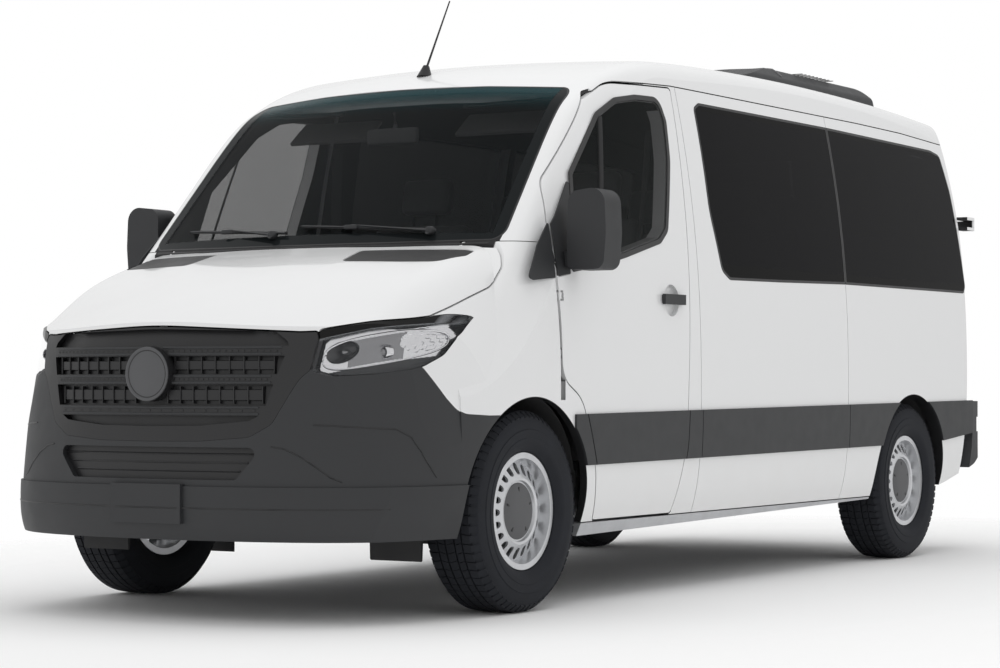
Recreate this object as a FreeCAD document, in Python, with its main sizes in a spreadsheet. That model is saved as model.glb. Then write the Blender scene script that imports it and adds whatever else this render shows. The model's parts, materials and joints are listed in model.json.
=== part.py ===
import FreeCAD, Part
import math
import os

from FreeCAD import Rotation, Vector

# Minibus with a low roof, sliding side door and twin rear doors.
# X points to the vehicle's left, Y to its rear, Z up, and the ground is Z = 0.

os.makedirs("parts", exist_ok=True)
doc = FreeCAD.newDocument("minibus")
sheet = doc.addObject("Spreadsheet::Sheet", "Sizes")

# Driving dimensions in millimetres and degrees
SIZES = {
    "overall_length": 5640,
    "front_overhang": 1070,
    "wheelbase": 3665,
    "body_width": 2008,
    "roof_height": 2274,
    "waist_height": 950,
    "roof_seam_height": 2112,
    "body_wall": 60,
    "nose_wall": 30,
    "door_skin": 18,
    "door_flange": 24,
    "shut_gap": 6,
    "seam_width": 5,
    "glass_thickness": 5.7,
    "glass_bed": 6,
    "glass_margin": 3,
    "glass_overlap": 24,
    "moulding_depth": 10,
    "track_width": 1712,
    "tyre_radius": 382,
    "tyre_width": 246,
    "rim_radius": 203,
    "rim_width": 190,
    "rim_holes": 20,
    "front_arch_radius": 430,
    "rear_arch_radius": 425,
    "kingpin_half_track": 800,
    "axle_height": 382,
    "floor_height": 560,
    "floor_thickness": 45,
    "rail_half_gap": 380,
    "rail_width": 70,
    "rail_height": 110,
    "sill_height": 322,
    "front_door_hinge": 210,
    "steering_wheel_radius": 200,
    "seat_half_gap": 430,
    "air_unit_half_width": 600,
    "air_unit_height": 2392,
    "mirror_reach": 1172,
}
for row, (alias, value) in enumerate(SIZES.items(), start=1):
    sheet.set("A%d" % row, alias)
    sheet.set("B%d" % row, str(value))
    sheet.setAlias("B%d" % row, alias)
doc.recompute()


def size(alias):
    return float(sheet.get(alias))


pieces = []
LENGTH = size("overall_length")
FRONT_FACE = -LENGTH / 2
REAR_FACE = LENGTH / 2
FRONT_AXLE = FRONT_FACE + size("front_overhang")
REAR_AXLE = FRONT_AXLE + size("wheelbase")
HALF_WIDTH = size("body_width") / 2
WAIST = size("waist_height")
SEAM_TOP = size("roof_seam_height")
WALL = size("body_wall")
NOSE_WALL = size("nose_wall")
SKIN = size("door_skin")
GAP = size("shut_gap")
AXLE_HEIGHT = size("axle_height")
FLOOR = size("floor_height")
SILL = size("sill_height")
FAR = 4000


# Smooth curves, patches and blocks

def curve(points):
    """Smooth curve through points that keeps their rises and falls."""
    xs = [point[0] for point in points]
    ys = [point[1] for point in points]
    last = len(xs) - 1
    step = [xs[i + 1] - xs[i] for i in range(last)]
    rise = [(ys[i + 1] - ys[i]) / step[i] for i in range(last)]
    slope = [rise[0]] + [0.0] * (last - 1) + [rise[-1]]
    for i in range(1, last):
        if rise[i - 1] * rise[i] > 0:
            before = 2 * step[i] + step[i - 1]
            after = step[i] + 2 * step[i - 1]
            slope[i] = (before + after) / (before / rise[i - 1] + after / rise[i])

    def value(x):
        if x <= xs[0]:
            return ys[0] + slope[0] * (x - xs[0])
        if x >= xs[-1]:
            return ys[-1] + slope[-1] * (x - xs[-1])
        i = max(k for k in range(last) if xs[k] <= x)
        part = (x - xs[i]) / step[i]
        left = (1 + 2 * part) * (1 - part) ** 2 * ys[i]
        right = part * part * (3 - 2 * part) * ys[i + 1]
        bend = part * (1 - part) ** 2 * slope[i] - part * part * (1 - part) * slope[i + 1]
        return left + right + bend * step[i]

    return value


def steps(*spans):
    """Even steps over each (start, end, count) span."""
    values = []
    for start, end, count in spans:
        values += [start + (end - start) * i / count for i in range(count)]
    return values + [spans[-1][1]]


def both_ways(values):
    return [-value for value in values[:0:-1]] + values


def control_places(knots):
    full = [knots[0]] * 3 + list(knots) + [knots[-1]] * 3
    return [sum(full[i + 1:i + 4]) / 3 for i in range(len(full) - 4)]


def patch(height, across, along, place):
    """Cubic spline patch that follows a height function over a grid."""
    poles = [[place(u, v, height(u, v)) for v in control_places(along)]
             for u in control_places(across)]
    surface = Part.BSplineSurface()
    surface.buildFromPolesMultsKnots(
        poles, [4] + [1] * (len(across) - 2) + [4], [4] + [1] * (len(along) - 2) + [4],
        list(across), list(along), False, False, 3, 3)
    return surface.toShape()


def moved_in(height, distance, inward):
    """The same height function moved square to its surface."""
    if distance == 0:
        return height
    reach = 4.0

    def value(u, v):
        slope_u = (height(u + reach, v) - height(u - reach, v)) / (2 * reach)
        slope_v = (height(u, v + reach) - height(u, v - reach)) / (2 * reach)
        stretch = min(math.sqrt(1 + slope_u ** 2 + slope_v ** 2), 3.2)
        return height(u, v) + inward * distance * stretch

    return value


def on_side(y, z, x):
    return Vector(x, y, z)


def on_top(x, y, z):
    return Vector(x, y, z)


def on_face(x, z, y):
    return Vector(x, y, z)


def shoulder(reach, radius_across, radius_down, steepest):
    """Drop of a quarter round that ends in a straight steep line."""
    if reach <= 0:
        return 0.0
    part = reach / radius_across
    limit = steepest * radius_across / radius_down
    limit = limit / math.sqrt(1 + limit * limit)
    if part <= limit:
        return radius_down * (1 - math.sqrt(1 - part * part))
    rounded = radius_down * (1 - math.sqrt(1 - limit * limit))
    return rounded + steepest * (part - limit) * radius_across


# Outer surface: the side, the roof with windscreen, the hood, the nose and the rear face

def side_x(y, z):
    if z < WAIST:
        x = HALF_WIDTH - 64 * ((WAIST - z) / (WAIST - 280)) ** 4.5
    else:
        x = HALF_WIDTH - 122 * ((z - WAIST) / (SEAM_TOP - WAIST)) ** 2
    nose = FRONT_AXLE + 150 - y
    if nose > 0:
        x -= (68 + 0.0875 * (max(min(z, 1100), 400) - 500)) * (nose / 750) ** 3.6
    cab = FRONT_AXLE + 1450 - y
    if cab > 0 and z > WAIST:
        x -= 44 * ((z - WAIST) / (SEAM_TOP - WAIST)) ** 2 * (cab / 743) ** 2
    return x


CROWN = size("roof_height")
roof_line = curve([
    (FRONT_AXLE - 650, 935), (FRONT_AXLE - 150, 1395), (FRONT_AXLE + 217, 1752),
    (FRONT_AXLE + 585, 2080), (FRONT_AXLE + 690, 2128), (FRONT_AXLE + 775, 2163),
    (FRONT_AXLE + 950, 2208), (FRONT_AXLE + 1250, CROWN - 26), (FRONT_AXLE + 1750, CROWN),
    (FRONT_AXLE + 2650, CROWN + 16), (REAR_AXLE + 85, CROWN - 2), (REAR_AXLE + 485, CROWN - 22),
    (REAR_AXLE + 1035, CROWN - 59)])
roof_bow = curve([
    (FRONT_AXLE - 650, 2.6e-4), (FRONT_AXLE + 28, 2.185e-4), (FRONT_AXLE + 707, 1.2e-4),
    (FRONT_AXLE + 1270, 4e-5), (REAR_AXLE + 1085, 4e-5)])
roof_flat = curve([
    (FRONT_AXLE - 650, 905), (FRONT_AXLE + 28, 863), (FRONT_AXLE + 707, 792),
    (FRONT_AXLE + 1373, 765), (REAR_AXLE + 1085, 765)])
roof_round = curve([
    (FRONT_AXLE - 650, 60), (FRONT_AXLE + 707, 62), (FRONT_AXLE + 1250, 112),
    (REAR_AXLE + 1085, 112)])


def roof_z(x, y):
    radius = roof_round(y)
    return roof_line(y) - roof_bow(y) * x * x - shoulder(abs(x) - roof_flat(y), radius, radius, 2.75)


hood_line = curve([
    (FRONT_AXLE - 1200, 980), (FRONT_AXLE - 1065, 1050), (FRONT_AXLE - 1042, 1067),
    (FRONT_AXLE - 950, 1117), (FRONT_AXLE - 750, 1206), (FRONT_AXLE - 550, 1280),
    (FRONT_AXLE - 350, 1341), (FRONT_AXLE - 150, 1395), (FRONT_AXLE + 28, 1440),
    (FRONT_AXLE + 450, 1520)])
hood_bow = curve([
    (FRONT_AXLE - 1200, 2.4e-4), (FRONT_AXLE - 950, 2.3e-4), (FRONT_AXLE - 674, 2.1e-4),
    (FRONT_AXLE - 568, 1.5e-4), (FRONT_AXLE - 400, 0.85e-4), (FRONT_AXLE + 28, 0.6e-4),
    (FRONT_AXLE + 450, 0.5e-4)])


def hood_z(x, y):
    return hood_line(y) - hood_bow(y) * x * x - shoulder(abs(x) - 750, 232, 500, 7.0)


nose_low = curve([
    (0, 0), (200, 7), (400, 30), (600, 90), (700, 145), (800, 226), (870, 315), (930, 435),
    (970, 575), (1010, 760), (1060, 1000)])
nose_high = curve([
    (0, 0), (200, 9), (400, 40), (545, 92), (700, 180), (800, 274), (870, 390), (920, 505),
    (960, 647), (1000, 850), (1060, 1150)])
nose_lean = curve([
    (200, 150), (280, 40), (330, 14), (420, 0), (640, 4), (900, 12), (1050, 30), (1150, 80),
    (1300, 220), (1500, 460)])
NOSE_INSET = 15


def nose_y(x, z):
    share = min(max((z - 500) / 400, 0), 1.6)
    plan = nose_low(abs(x)) * (1 - share) + nose_high(abs(x)) * share
    return FRONT_FACE + NOSE_INSET + plan + nose_lean(z)


tail_line = curve([
    (200, REAR_AXLE + 810), (1450, REAR_AXLE + 820), (1667, REAR_AXLE + 813),
    (1897, REAR_AXLE + 787), (2058, REAR_AXLE + 757), (2150, REAR_AXLE + 730),
    (2230, REAR_AXLE + 685), (2320, REAR_AXLE + 605)])


def tail_y(x, z):
    corner = shoulder(abs(x) - (side_x(REAR_AXLE + 685, z) - 90), 90, 90, 3.0)
    return tail_line(z) - 22 * (x / 900) ** 2 - corner


SIDE_Y = steps((FRONT_FACE - 180, FRONT_AXLE + 150, 10), (FRONT_AXLE + 150, FRONT_AXLE + 1450, 6),
               (FRONT_AXLE + 1450, REAR_FACE + 130, 6))
SIDE_Z = steps((100, 300, 2), (300, WAIST, 6), (WAIST, 2200, 6), (2200, 2500, 1))
ROOF_X = both_ways(steps((0, 700, 5), (700, 950, 12), (950, 1200, 2)))
ROOF_Y = steps((FRONT_AXLE - 650, FRONT_AXLE + 510, 6), (FRONT_AXLE + 510, FRONT_AXLE + 870, 7),
               (FRONT_AXLE + 870, FRONT_AXLE + 1350, 4), (FRONT_AXLE + 1350, REAR_FACE + 130, 7))
HOOD_X = both_ways(steps((0, 700, 5), (700, 1000, 10), (1000, 1200, 2)))
HOOD_Y = steps((FRONT_FACE - 180, FRONT_AXLE - 350, 8), (FRONT_AXLE - 350, FRONT_AXLE + 450, 4))
NOSE_X = both_ways(steps((0, 600, 4), (600, 1060, 9)))
NOSE_Z = steps((200, 420, 5), (420, 900, 3), (900, 1300, 4), (1300, 1500, 1))
TAIL_X = both_ways(steps((0, 750, 2), (750, 1040, 10), (1040, 1150, 1)))
TAIL_Z = steps((150, 1450, 3), (1450, 2100, 4), (2100, 2400, 4))


def side_block(depth):
    """Everything inward of the left side, moved in by a depth."""
    return patch(moved_in(side_x, depth, -1), SIDE_Y, SIDE_Z, on_side).extrude(Vector(-2600, 0, 0))


def roof_block(depth):
    return patch(moved_in(roof_z, depth, -1), ROOF_X, ROOF_Y, on_top).extrude(Vector(0, 0, -2800))


def hood_block(depth):
    return patch(moved_in(hood_z, depth, -1), HOOD_X, HOOD_Y, on_top).extrude(Vector(0, 0, -2200))


def nose_block(depth):
    return patch(moved_in(nose_y, depth, 1), NOSE_X, NOSE_Z, on_face).extrude(Vector(0, 7000, 0))


def tail_block(depth):
    return patch(moved_in(tail_y, depth, -1), TAIL_X, TAIL_Z, on_face).extrude(Vector(0, -7000, 0))


def box(x_low, x_high, y_low, y_high, z_low, z_high):
    return Part.makeBox(x_high - x_low, y_high - y_low, z_high - z_low, Vector(x_low, y_low, z_low))


def mirrored(shape):
    return shape.mirror(Vector(0, 0, 0), Vector(1, 0, 0))


def body_block(depth, bottom):
    """The whole body as one block, moved in by a depth."""
    left = side_block(depth)
    slab = left.common(mirrored(left))
    front = slab.common(box(-1200, 1200, FRONT_FACE - 180, FRONT_AXLE + 100, bottom, 2000))
    front = front.common(nose_block(depth)).common(hood_block(depth))
    rear = slab.common(box(-1200, 1200, FRONT_AXLE - 450, REAR_FACE + 180, bottom, 2600))
    rear = rear.common(roof_block(depth)).common(tail_block(depth))
    return front.fuse(rear)


# Outlines with rounded corners, given as (a, b, corner radius)

def outline_face(points, place):
    edges = []
    count = len(points)
    starts = []
    for i in range(count):
        here = Vector(points[i][0], points[i][1], 0)
        before = Vector(points[i - 1][0], points[i - 1][1], 0)
        after = Vector(points[(i + 1) % count][0], points[(i + 1) % count][1], 0)
        radius = points[i][2]
        to_before = (before - here).normalize()
        to_after = (after - here).normalize()
        half = to_before.getAngle(to_after) / 2
        if radius <= 0 or abs(half - math.pi / 2) < 0.01:
            starts.append((here, None, here))
            continue
        trim = min(radius / math.tan(half), 0.48 * (before - here).Length,
                   0.48 * (after - here).Length)
        radius = trim * math.tan(half)
        middle_direction = (to_before + to_after).normalize()
        centre = here + middle_direction * (radius / math.sin(half))
        starts.append((here + to_before * trim, centre - middle_direction * radius,
                       here + to_after * trim))
    for i in range(count):
        enter, middle, leave = starts[i]
        if middle is not None:
            edges.append(Part.Arc(place(enter), place(middle), place(leave)).toShape())
        following = starts[(i + 1) % count][0]
        if (following - leave).Length > 0.001:
            edges.append(Part.LineSegment(place(leave), place(following)).toShape())
    return Part.Face(Part.Wire(edges))


def grown(face, distance):
    """The face with its outline moved out, or in where the distance is negative."""
    if distance == 0:
        return face
    return Part.Face(face.makeOffset2D(distance).OuterWire)


def side_prism(points, x_low, x_high, growth=0):
    """A side-view outline (y, z, radius) as a bar from x_low to x_high."""
    face = outline_face(points, lambda p: Vector(x_low, p.x, p.y))
    return grown(face, growth).extrude(Vector(x_high - x_low, 0, 0))


def front_prism(points, y_low, y_high, growth=0):
    """A front-view outline (x, z, radius) as a bar from y_low to y_high."""
    face = outline_face(points, lambda p: Vector(p.x, y_low, p.y))
    return grown(face, growth).extrude(Vector(0, y_high - y_low, 0))


def top_prism(points, z_low, z_high, growth=0):
    """A plan outline (x, y, radius) as a bar from z_low to z_high."""
    face = outline_face(points, lambda p: Vector(p.x, p.y, z_low))
    return grown(face, growth).extrude(Vector(0, 0, z_high - z_low))


def from_front(points):
    """Side-view points measured back from the front axle."""
    return [(FRONT_AXLE + y, z, radius) for y, z, radius in points]


def joined(shapes):
    first = shapes[0]
    return first.fuse(shapes[1:]) if len(shapes) > 1 else first


def publish(label, shape):
    """Adds a sub-part whose shape is worked out from the sheet."""
    feature = doc.addObject("Part::Feature", label)
    feature.Label = label
    feature.Shape = shape
    feature.Placement = FreeCAD.Placement(Vector(0, 0, 0), Rotation())
    pieces.append(feature)
    return feature


def biggest(shape):
    """The main solid of a cut panel, without what the cut leaves beside it."""
    return max(shape.Solids, key=lambda solid: solid.Volume)


def solids_of(shape):
    """Leaves out slivers that a cut along a curved face can shed."""
    kept = [solid for solid in shape.Solids if solid.Volume > 2000]
    return Part.Compound(kept) if len(kept) > 1 else kept[0]


# Outlines of the real panels, with heights from the ground

DOOR = from_front([
    (517, 322, 15), (478, 520, 300), (360, 800, 160), (203, 882, 110), (195, 1400, 500),
    (252, 1640, 160), (680, 2040, 70), (850, 2092, 300), (1324, 2112, 22), (1283, 1300, 600),
    (1240, 600, 400), (1174, 322, 20)])
DOOR_WINDOW = from_front([
    (408, 1691, 30), (690, 1950, 90), (850, 2024, 120), (1010, 2050, 150), (1200, 2056, 70),
    (1232, 1960, 60), (1212, 1794, 300), (1120, 1492, 60), (1050, 1440, 60), (750, 1370, 200),
    (520, 1324, 200), (314, 1296, 12)])
DOOR_SAIL = from_front([
    (250, 1512, 8), (396, 1672, 8), (302, 1288, 8), (210, 1274, 8), (208, 1478, 10)])
FIXED_SAIL = from_front([
    (-5, 1262, 12), (30, 1254, 20), (190, 1268, 5), (190, 1484, 5), (86, 1389, 40)])
SIDE_GLASS_FRONT = from_front([
    (1508, 2040, 25), (1560, 2064, 40), (2868, 2066, 3), (2868, 1329, 3), (2155, 1316, 400),
    (1660, 1310, 50), (1590, 1345, 60), (1516, 1600, 400)])
GLASS_SEAM = FRONT_AXLE + 2871
SIDE_GLASS_REAR = [
    (GLASS_SEAM + 3, 1329, 3), (GLASS_SEAM + 3, 2066, 3), (REAR_AXLE + 477, 2054, 300),
    (REAR_AXLE + 590, 2036, 40), (REAR_AXLE + 650, 1850, 300), (REAR_AXLE + 714, 1360, 40),
    (REAR_AXLE + 690, 1330, 25)]
ROOF_EDGE = [
    (FRONT_AXLE + 420, 1925, 0), (FRONT_AXLE + 662, 2014, 60), (FRONT_AXLE + 840, 2096, 300),
    (FRONT_AXLE + 1329, 2118, 300), (FRONT_AXLE + 3250, 2121, 900), (REAR_AXLE + 115, 2116, 900),
    (REAR_AXLE + 752, 2092, 300), (REAR_FACE + 250, 2078, 0)]
ROOF_ZONE = ROOF_EDGE + [(REAR_FACE + 250, 2700, 0), (FRONT_AXLE + 420, 2700, 0)]
HOOD_SEAM = from_front([
    (-506, 1111, 60), (-295, 1178, 300), (-157, 1219, 120), (-110, 1243, 60), (-54, 1298, 120),
    (-22, 1345, 200), (9, 1397, 60)])
HOOD_ZONE = from_front([(-1250, 1040, 0), (-640, 1040, 0), (-560, 1090, 60)]) + HOOD_SEAM
HOOD_ZONE = HOOD_ZONE + from_front([(60, 1480, 0), (60, 1700, 0), (-1250, 1700, 0)])
BUMPER_EDGE = from_front([
    (-1250, 915, 0), (-640, 912, 40), (-601, 925, 20), (-508, 810, 160), (-450, 754, 120),
    (-300, 746, 0), (40, 746, 0)])
BUMPER_ZONE = BUMPER_EDGE + from_front([(40, 100, 0), (-1250, 100, 0)])
LAMP = [
    (623, 906, 12), (680, 889, 40), (810, 898, 400), (888, 922, 30), (918, 965, 60),
    (932, 1035, 120), (923, 1110, 12), (902, 1117, 30), (850, 1096, 200), (760, 1083, 300),
    (628, 1052, 12), (636, 1026, 30)]
GRILLE_HALF = [
    (0, 1071, 2500), (568, 1044, 60), (622, 1046, 8), (630, 1026, 20), (617, 910, 20),
    (585, 880, 200), (500, 718, 60), (420, 672, 60), (228, 657, 300), (0, 655, 2500)]
OPENING_HALF = [
    (0, 1061, 2500), (488, 1050, 40), (545, 1006, 30), (468, 757, 60), (420, 730, 40),
    (228, 712, 300), (0, 709, 2500)]
WINDSCREEN = [
    (-845, 1411, 45), (-400, 1404, 900), (0, 1402, 2000), (400, 1404, 900), (845, 1411, 45),
    (778, 2056, 60), (400, 2076, 900), (0, 2081, 2000), (-400, 2076, 900), (-778, 2056, 60)]
INTAKE = [
    (-472, 635, 25), (472, 635, 25), (373, 519, 25), (-373, 519, 25)]
REAR_DOOR = [
    (3, 545, 12), (3, 2060, 12), (700, 2060, 120), (790, 2030, 90), (868, 1500, 400),
    (872, 1320, 60), (872, 545, 30)]
REAR_WINDOW = [
    (90, 1350, 50), (90, 1985, 50), (690, 1985, 80), (770, 1500, 300), (782, 1350, 50)]
HOOD_BACK = [
    (-1200, FRONT_AXLE + 160, 0), (-845, FRONT_AXLE + 5, 200), (-400, FRONT_AXLE - 132, 600),
    (0, FRONT_AXLE - 158, 1500), (400, FRONT_AXLE - 132, 600), (845, FRONT_AXLE + 5, 200),
    (1200, FRONT_AXLE + 160, 0)]
ROOF_FRONT = [
    (-1200, FRONT_AXLE + 830, 0), (-778, FRONT_AXLE + 716, 300), (-400, FRONT_AXLE + 622, 600),
    (0, FRONT_AXLE + 592, 1500), (400, FRONT_AXLE + 622, 600), (778, FRONT_AXLE + 716, 300),
    (1200, FRONT_AXLE + 830, 0)]
REAR_CORNER = REAR_AXLE + 757
TAIL_UNDER = [
    (REAR_AXLE + 385, 200, 0), (REAR_AXLE + 385, 342, 0), (REAR_AXLE + 488, 361, 0),
    (REAR_AXLE + 721, 415, 200), (REAR_AXLE + 822, 447, 60), (REAR_FACE + 60, 560, 0),
    (REAR_FACE + 60, 200, 0)]
B_LINE = FRONT_AXLE + 1364

outer = body_block(0, 240)
inner = body_block(WALL, 150)
nose_inner = body_block(NOSE_WALL, 150)
skin_side = side_block(SKIN)
skin_both = skin_side.common(mirrored(skin_side))
shell = outer.cut(inner)
nose_shell = outer.cut(nose_inner)
wide = 1300


def arch(axle, radius):
    """A bar across the body that opens both wheel arches of an axle."""
    round_part = Part.makeCylinder(radius, 2 * wide, Vector(-wide, axle, AXLE_HEIGHT),
                                   Vector(1, 0, 0))
    return round_part.fuse(box(-wide, wide, axle - radius, axle + radius, 0, AXLE_HEIGHT))


front_arch = arch(FRONT_AXLE, size("front_arch_radius"))
rear_arch = arch(REAR_AXLE - 10, size("rear_arch_radius"))
doorway = side_prism(DOOR, -wide, wide)
roof_zone = side_prism(ROOF_ZONE, -wide, wide)
hood_back = top_prism(HOOD_BACK + [(1200, FAR, 0), (-1200, FAR, 0)], 0, 3000)
roof_back = top_prism(ROOF_FRONT + [(1200, FAR, 0), (-1200, FAR, 0)], 0, 3000)
windscreen_bar = front_prism(WINDSCREEN, FRONT_AXLE - 400, FRONT_AXLE + 900)
tail_under = side_prism(TAIL_UNDER, -wide, wide)
NOSE_REACH = (FRONT_FACE - 200, FRONT_AXLE - 300)


def both_halves(half_points):
    """A front-view outline closed by its own mirror image."""
    return half_points + [(-x, z, radius) for x, z, radius in half_points[-2:0:-1]]


GRILLE = both_halves(GRILLE_HALF)
OPENING = both_halves(OPENING_HALF)


def nose_bar(points, growth=0):
    return front_prism(points, *NOSE_REACH, growth)


def seam_strip(points):
    """A strip of the seam's width along an open side-view line."""
    half = size("seam_width") / 2
    upper = [(y, z + half, radius) for y, z, radius in points]
    lower = [(y, z - half, radius) for y, z, radius in reversed(points)]
    return side_prism(upper + lower, -wide, wide)


def upright_seam(y, z_low, z_high):
    half = size("seam_width") / 2
    return box(-wide, wide, y - half, y + half, z_low, z_high)


seams = joined([
    seam_strip(ROOF_EDGE[1:]), upright_seam(B_LINE, SILL, 2119),
    upright_seam(GLASS_SEAM, SILL, 2119), upright_seam(REAR_CORNER, 772, 2090)])
seams = seams.cut(skin_both)
print("blocks made")


# Fixed outer panels

def side_zone(y_low, y_high):
    return box(700, wide, y_low, y_high, SILL, 2300).cut(roof_zone)


def glazed(shape, points):
    """Cuts a bed for bonded glass and the daylight opening behind it."""
    margin = size("glass_margin")
    bed = side_prism(points, 0, wide, margin).cut(side_block(size("glass_bed")))
    light = side_prism(points, 0, wide, -size("glass_overlap"))
    return shape.cut(bed).cut(light)


def side_glass(points):
    """A pane that lies in the bed of a side opening."""
    pane = side_prism(points, 0, wide)
    return pane.common(side_block(0)).cut(side_block(size("glass_thickness")))


between_walls = side_block(WALL).common(mirrored(side_block(WALL)))
between_walls = between_walls.common(box(-wide, wide, REAR_AXLE + 600, REAR_CORNER, SILL, 2300))


def side_panel(y_low, y_high, glass):
    panel = shell.common(side_zone(y_low, y_high)).cut(seams).cut(rear_arch).cut(doorway)
    panel = panel.cut(between_walls).cut(tail_under)
    return solids_of(glazed(panel, glass))


front_panel = side_panel(B_LINE, GLASS_SEAM, SIDE_GLASS_FRONT)
rear_panel = side_panel(GLASS_SEAM, REAR_CORNER, SIDE_GLASS_REAR)
publish("side_panel_left", front_panel)
publish("sliding_door", mirrored(front_panel))
publish("rear_quarters", Part.Compound([rear_panel, mirrored(rear_panel)]))
front_pane = side_glass(SIDE_GLASS_FRONT)
rear_pane = side_glass(SIDE_GLASS_REAR)
publish("side_glass", Part.Compound([front_pane, rear_pane, mirrored(front_pane),
                                     mirrored(rear_pane)]))
pillar = shell.common(side_zone(FRONT_AXLE + 1100, B_LINE)).cut(doorway).cut(seams)
pillar = solids_of(pillar)
print("side panels made")

roof_back_zone = roof_zone.common(roof_back)
screen_bed = front_prism(WINDSCREEN, FRONT_AXLE - 400, FRONT_AXLE + 900, size("glass_margin"))
screen_bed = screen_bed.cut(roof_block(size("glass_bed")))
roof = shell.common(roof_back_zone).cut(seams).cut(screen_bed)
publish("roof", solids_of(roof))

tail_zone = box(-wide, wide, REAR_CORNER, REAR_FACE + 200, SILL, 2300)
tail_zone = tail_zone.fuse(between_walls)
tail_zone = tail_zone.cut(roof_zone)
rear_doorway = front_prism(REAR_DOOR, REAR_AXLE + 500, REAR_FACE + 200)
rear_frame = shell.common(tail_zone).cut(rear_doorway).cut(mirrored(rear_doorway))
rear_frame = rear_frame.cut(box(-20, 20, REAR_AXLE + 500, REAR_FACE + 200, 545, 2060))
lamp_bar = box(870, wide, REAR_CORNER + 3, REAR_FACE + 200, 786, 1317)
lamp_bed = lamp_bar.cut(side_block(26).common(tail_block(26)))
rear_frame = rear_frame.cut(lamp_bed).cut(mirrored(lamp_bed)).cut(tail_under)
rear_posts = solids_of(rear_frame)
publish("pillars", Part.Compound([pillar, mirrored(pillar)] + rear_posts.Solids))
tail_lamp = outer.common(box(873, wide, REAR_CORNER + 6, REAR_FACE + 200, 789, 1314))
tail_lamp = solids_of(tail_lamp.cut(side_block(25.6).common(tail_block(25.6))))
publish("tail_lamps", Part.Compound([tail_lamp, mirrored(tail_lamp)]))
print("rear made")

HINGE_X = 700
HOOD_PIN = Vector(HINGE_X, FRONT_AXLE - 20, 1395)
WING_LOW_X = 820
WING_TOP = 1403
screen_zone = hood_back.cut(roof_back_zone).cut(doorway)
screen_side = side_prism(from_front([
    (-400, WING_TOP + 3, 0), (760, WING_TOP + 3, 0), (1100, 2119, 0), (1100, 2600, 0),
    (-400, 2600, 0)]), -wide, wide)
cowl = box(-WING_LOW_X, WING_LOW_X, FRONT_AXLE - 400, FRONT_AXLE + 190, 1335, WING_TOP + 20)
screen_frame = shell.common(screen_side.fuse(cowl)).common(screen_zone)
screen_light = front_prism(WINDSCREEN, FRONT_AXLE - 400, FRONT_AXLE + 900, -26)
fixed_sail_bar = side_prism(FIXED_SAIL, 0, wide)
sail_bed = side_prism(FIXED_SAIL, 0, wide, size("glass_margin")).cut(side_block(size("glass_bed")))
screen_frame = screen_frame.cut(screen_bed).cut(screen_light)
screen_frame = screen_frame.cut(sail_bed).cut(mirrored(sail_bed))
hinge_slot = box(HINGE_X - 11, HINGE_X + 11, HOOD_PIN.y - 60, HOOD_PIN.y + 16, 1355, 1450)
screen_frame = screen_frame.cut(hinge_slot).cut(mirrored(hinge_slot))
hinge_rod = Part.makeCylinder(5, 34, HOOD_PIN - Vector(17, 0, 0), Vector(1, 0, 0))
screen_frame = biggest(screen_frame).fuse([hinge_rod, mirrored(hinge_rod)])
publish("windscreen_frame", biggest(screen_frame))
windscreen = windscreen_bar.common(roof_block(0)).cut(roof_block(size("glass_thickness")))
windscreen = windscreen.common(box(-wide, wide, FRONT_AXLE - 400, FRONT_AXLE + 900, 1300, 2200))
publish("windscreen", solids_of(windscreen))
fixed_sail = solids_of(fixed_sail_bar.common(side_block(0)).cut(side_block(5)))
print("screen made")

wing_seam = [(y, z, radius) for y, z, radius in reversed(HOOD_SEAM)]
wing_zone = side_prism(from_front([
    (-601, 925, 20), (-508, 810, 160), (-450, 754, 120), (-300, 746, 0), (-225, 746, 0),
    (-225, SILL, 0), (600, SILL, 0), (600, WING_TOP, 0), (14, WING_TOP, 0)]) + wing_seam
    + from_front([(-560, 1088, 0), (-640, 1040, 0)]), WING_LOW_X + 0.3, wide)
wing = nose_shell.common(wing_zone).cut(front_arch).cut(doorway)
wing = wing.cut(nose_bar(LAMP, 2)).cut(sail_bed)
wing = wing.cut(side_prism(BUMPER_ZONE, -wide, wide))
hinge_pin = Vector(986, FRONT_AXLE + size("front_door_hinge"), 0)
hinge_relief = Part.makeCylinder(25, 700, hinge_pin + Vector(0, 0, 800), Vector(0, 0, 1))
wing = biggest(wing.cut(hinge_relief))
publish("front_wings", Part.Compound([wing, mirrored(wing)]))

LEDGE = 9
LEDGE_TOP = 495
proud_side = side_block(-LEDGE)
ledge = nose_block(-LEDGE).common(proud_side).common(mirrored(proud_side))
ledge = ledge.common(box(-wide, wide, FRONT_FACE - 200, FRONT_AXLE - 300, 200, LEDGE_TOP))
bumper = nose_shell.fuse(ledge.cut(nose_inner))
bumper = bumper.common(side_prism(BUMPER_ZONE, -wide, wide)).cut(front_arch)
bumper = bumper.cut(nose_bar(GRILLE, 1)).cut(nose_bar(INTAKE))
bumper = bumper.cut(nose_bar(LAMP, 1)).cut(mirrored(nose_bar(LAMP, 1)))
bumper = bumper.cut(box(-wide, wide, -FAR, FRONT_AXLE, 0, 300))
PLATE_HALF = 160
plate_holder = box(-PLATE_HALF, PLATE_HALF, FRONT_FACE, FRONT_FACE + NOSE_INSET + 40, 360, 502)
bumper = bumper.fuse(plate_holder.cut(outer))
publish("front_bumper", biggest(bumper))
print("bumper made")

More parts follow.
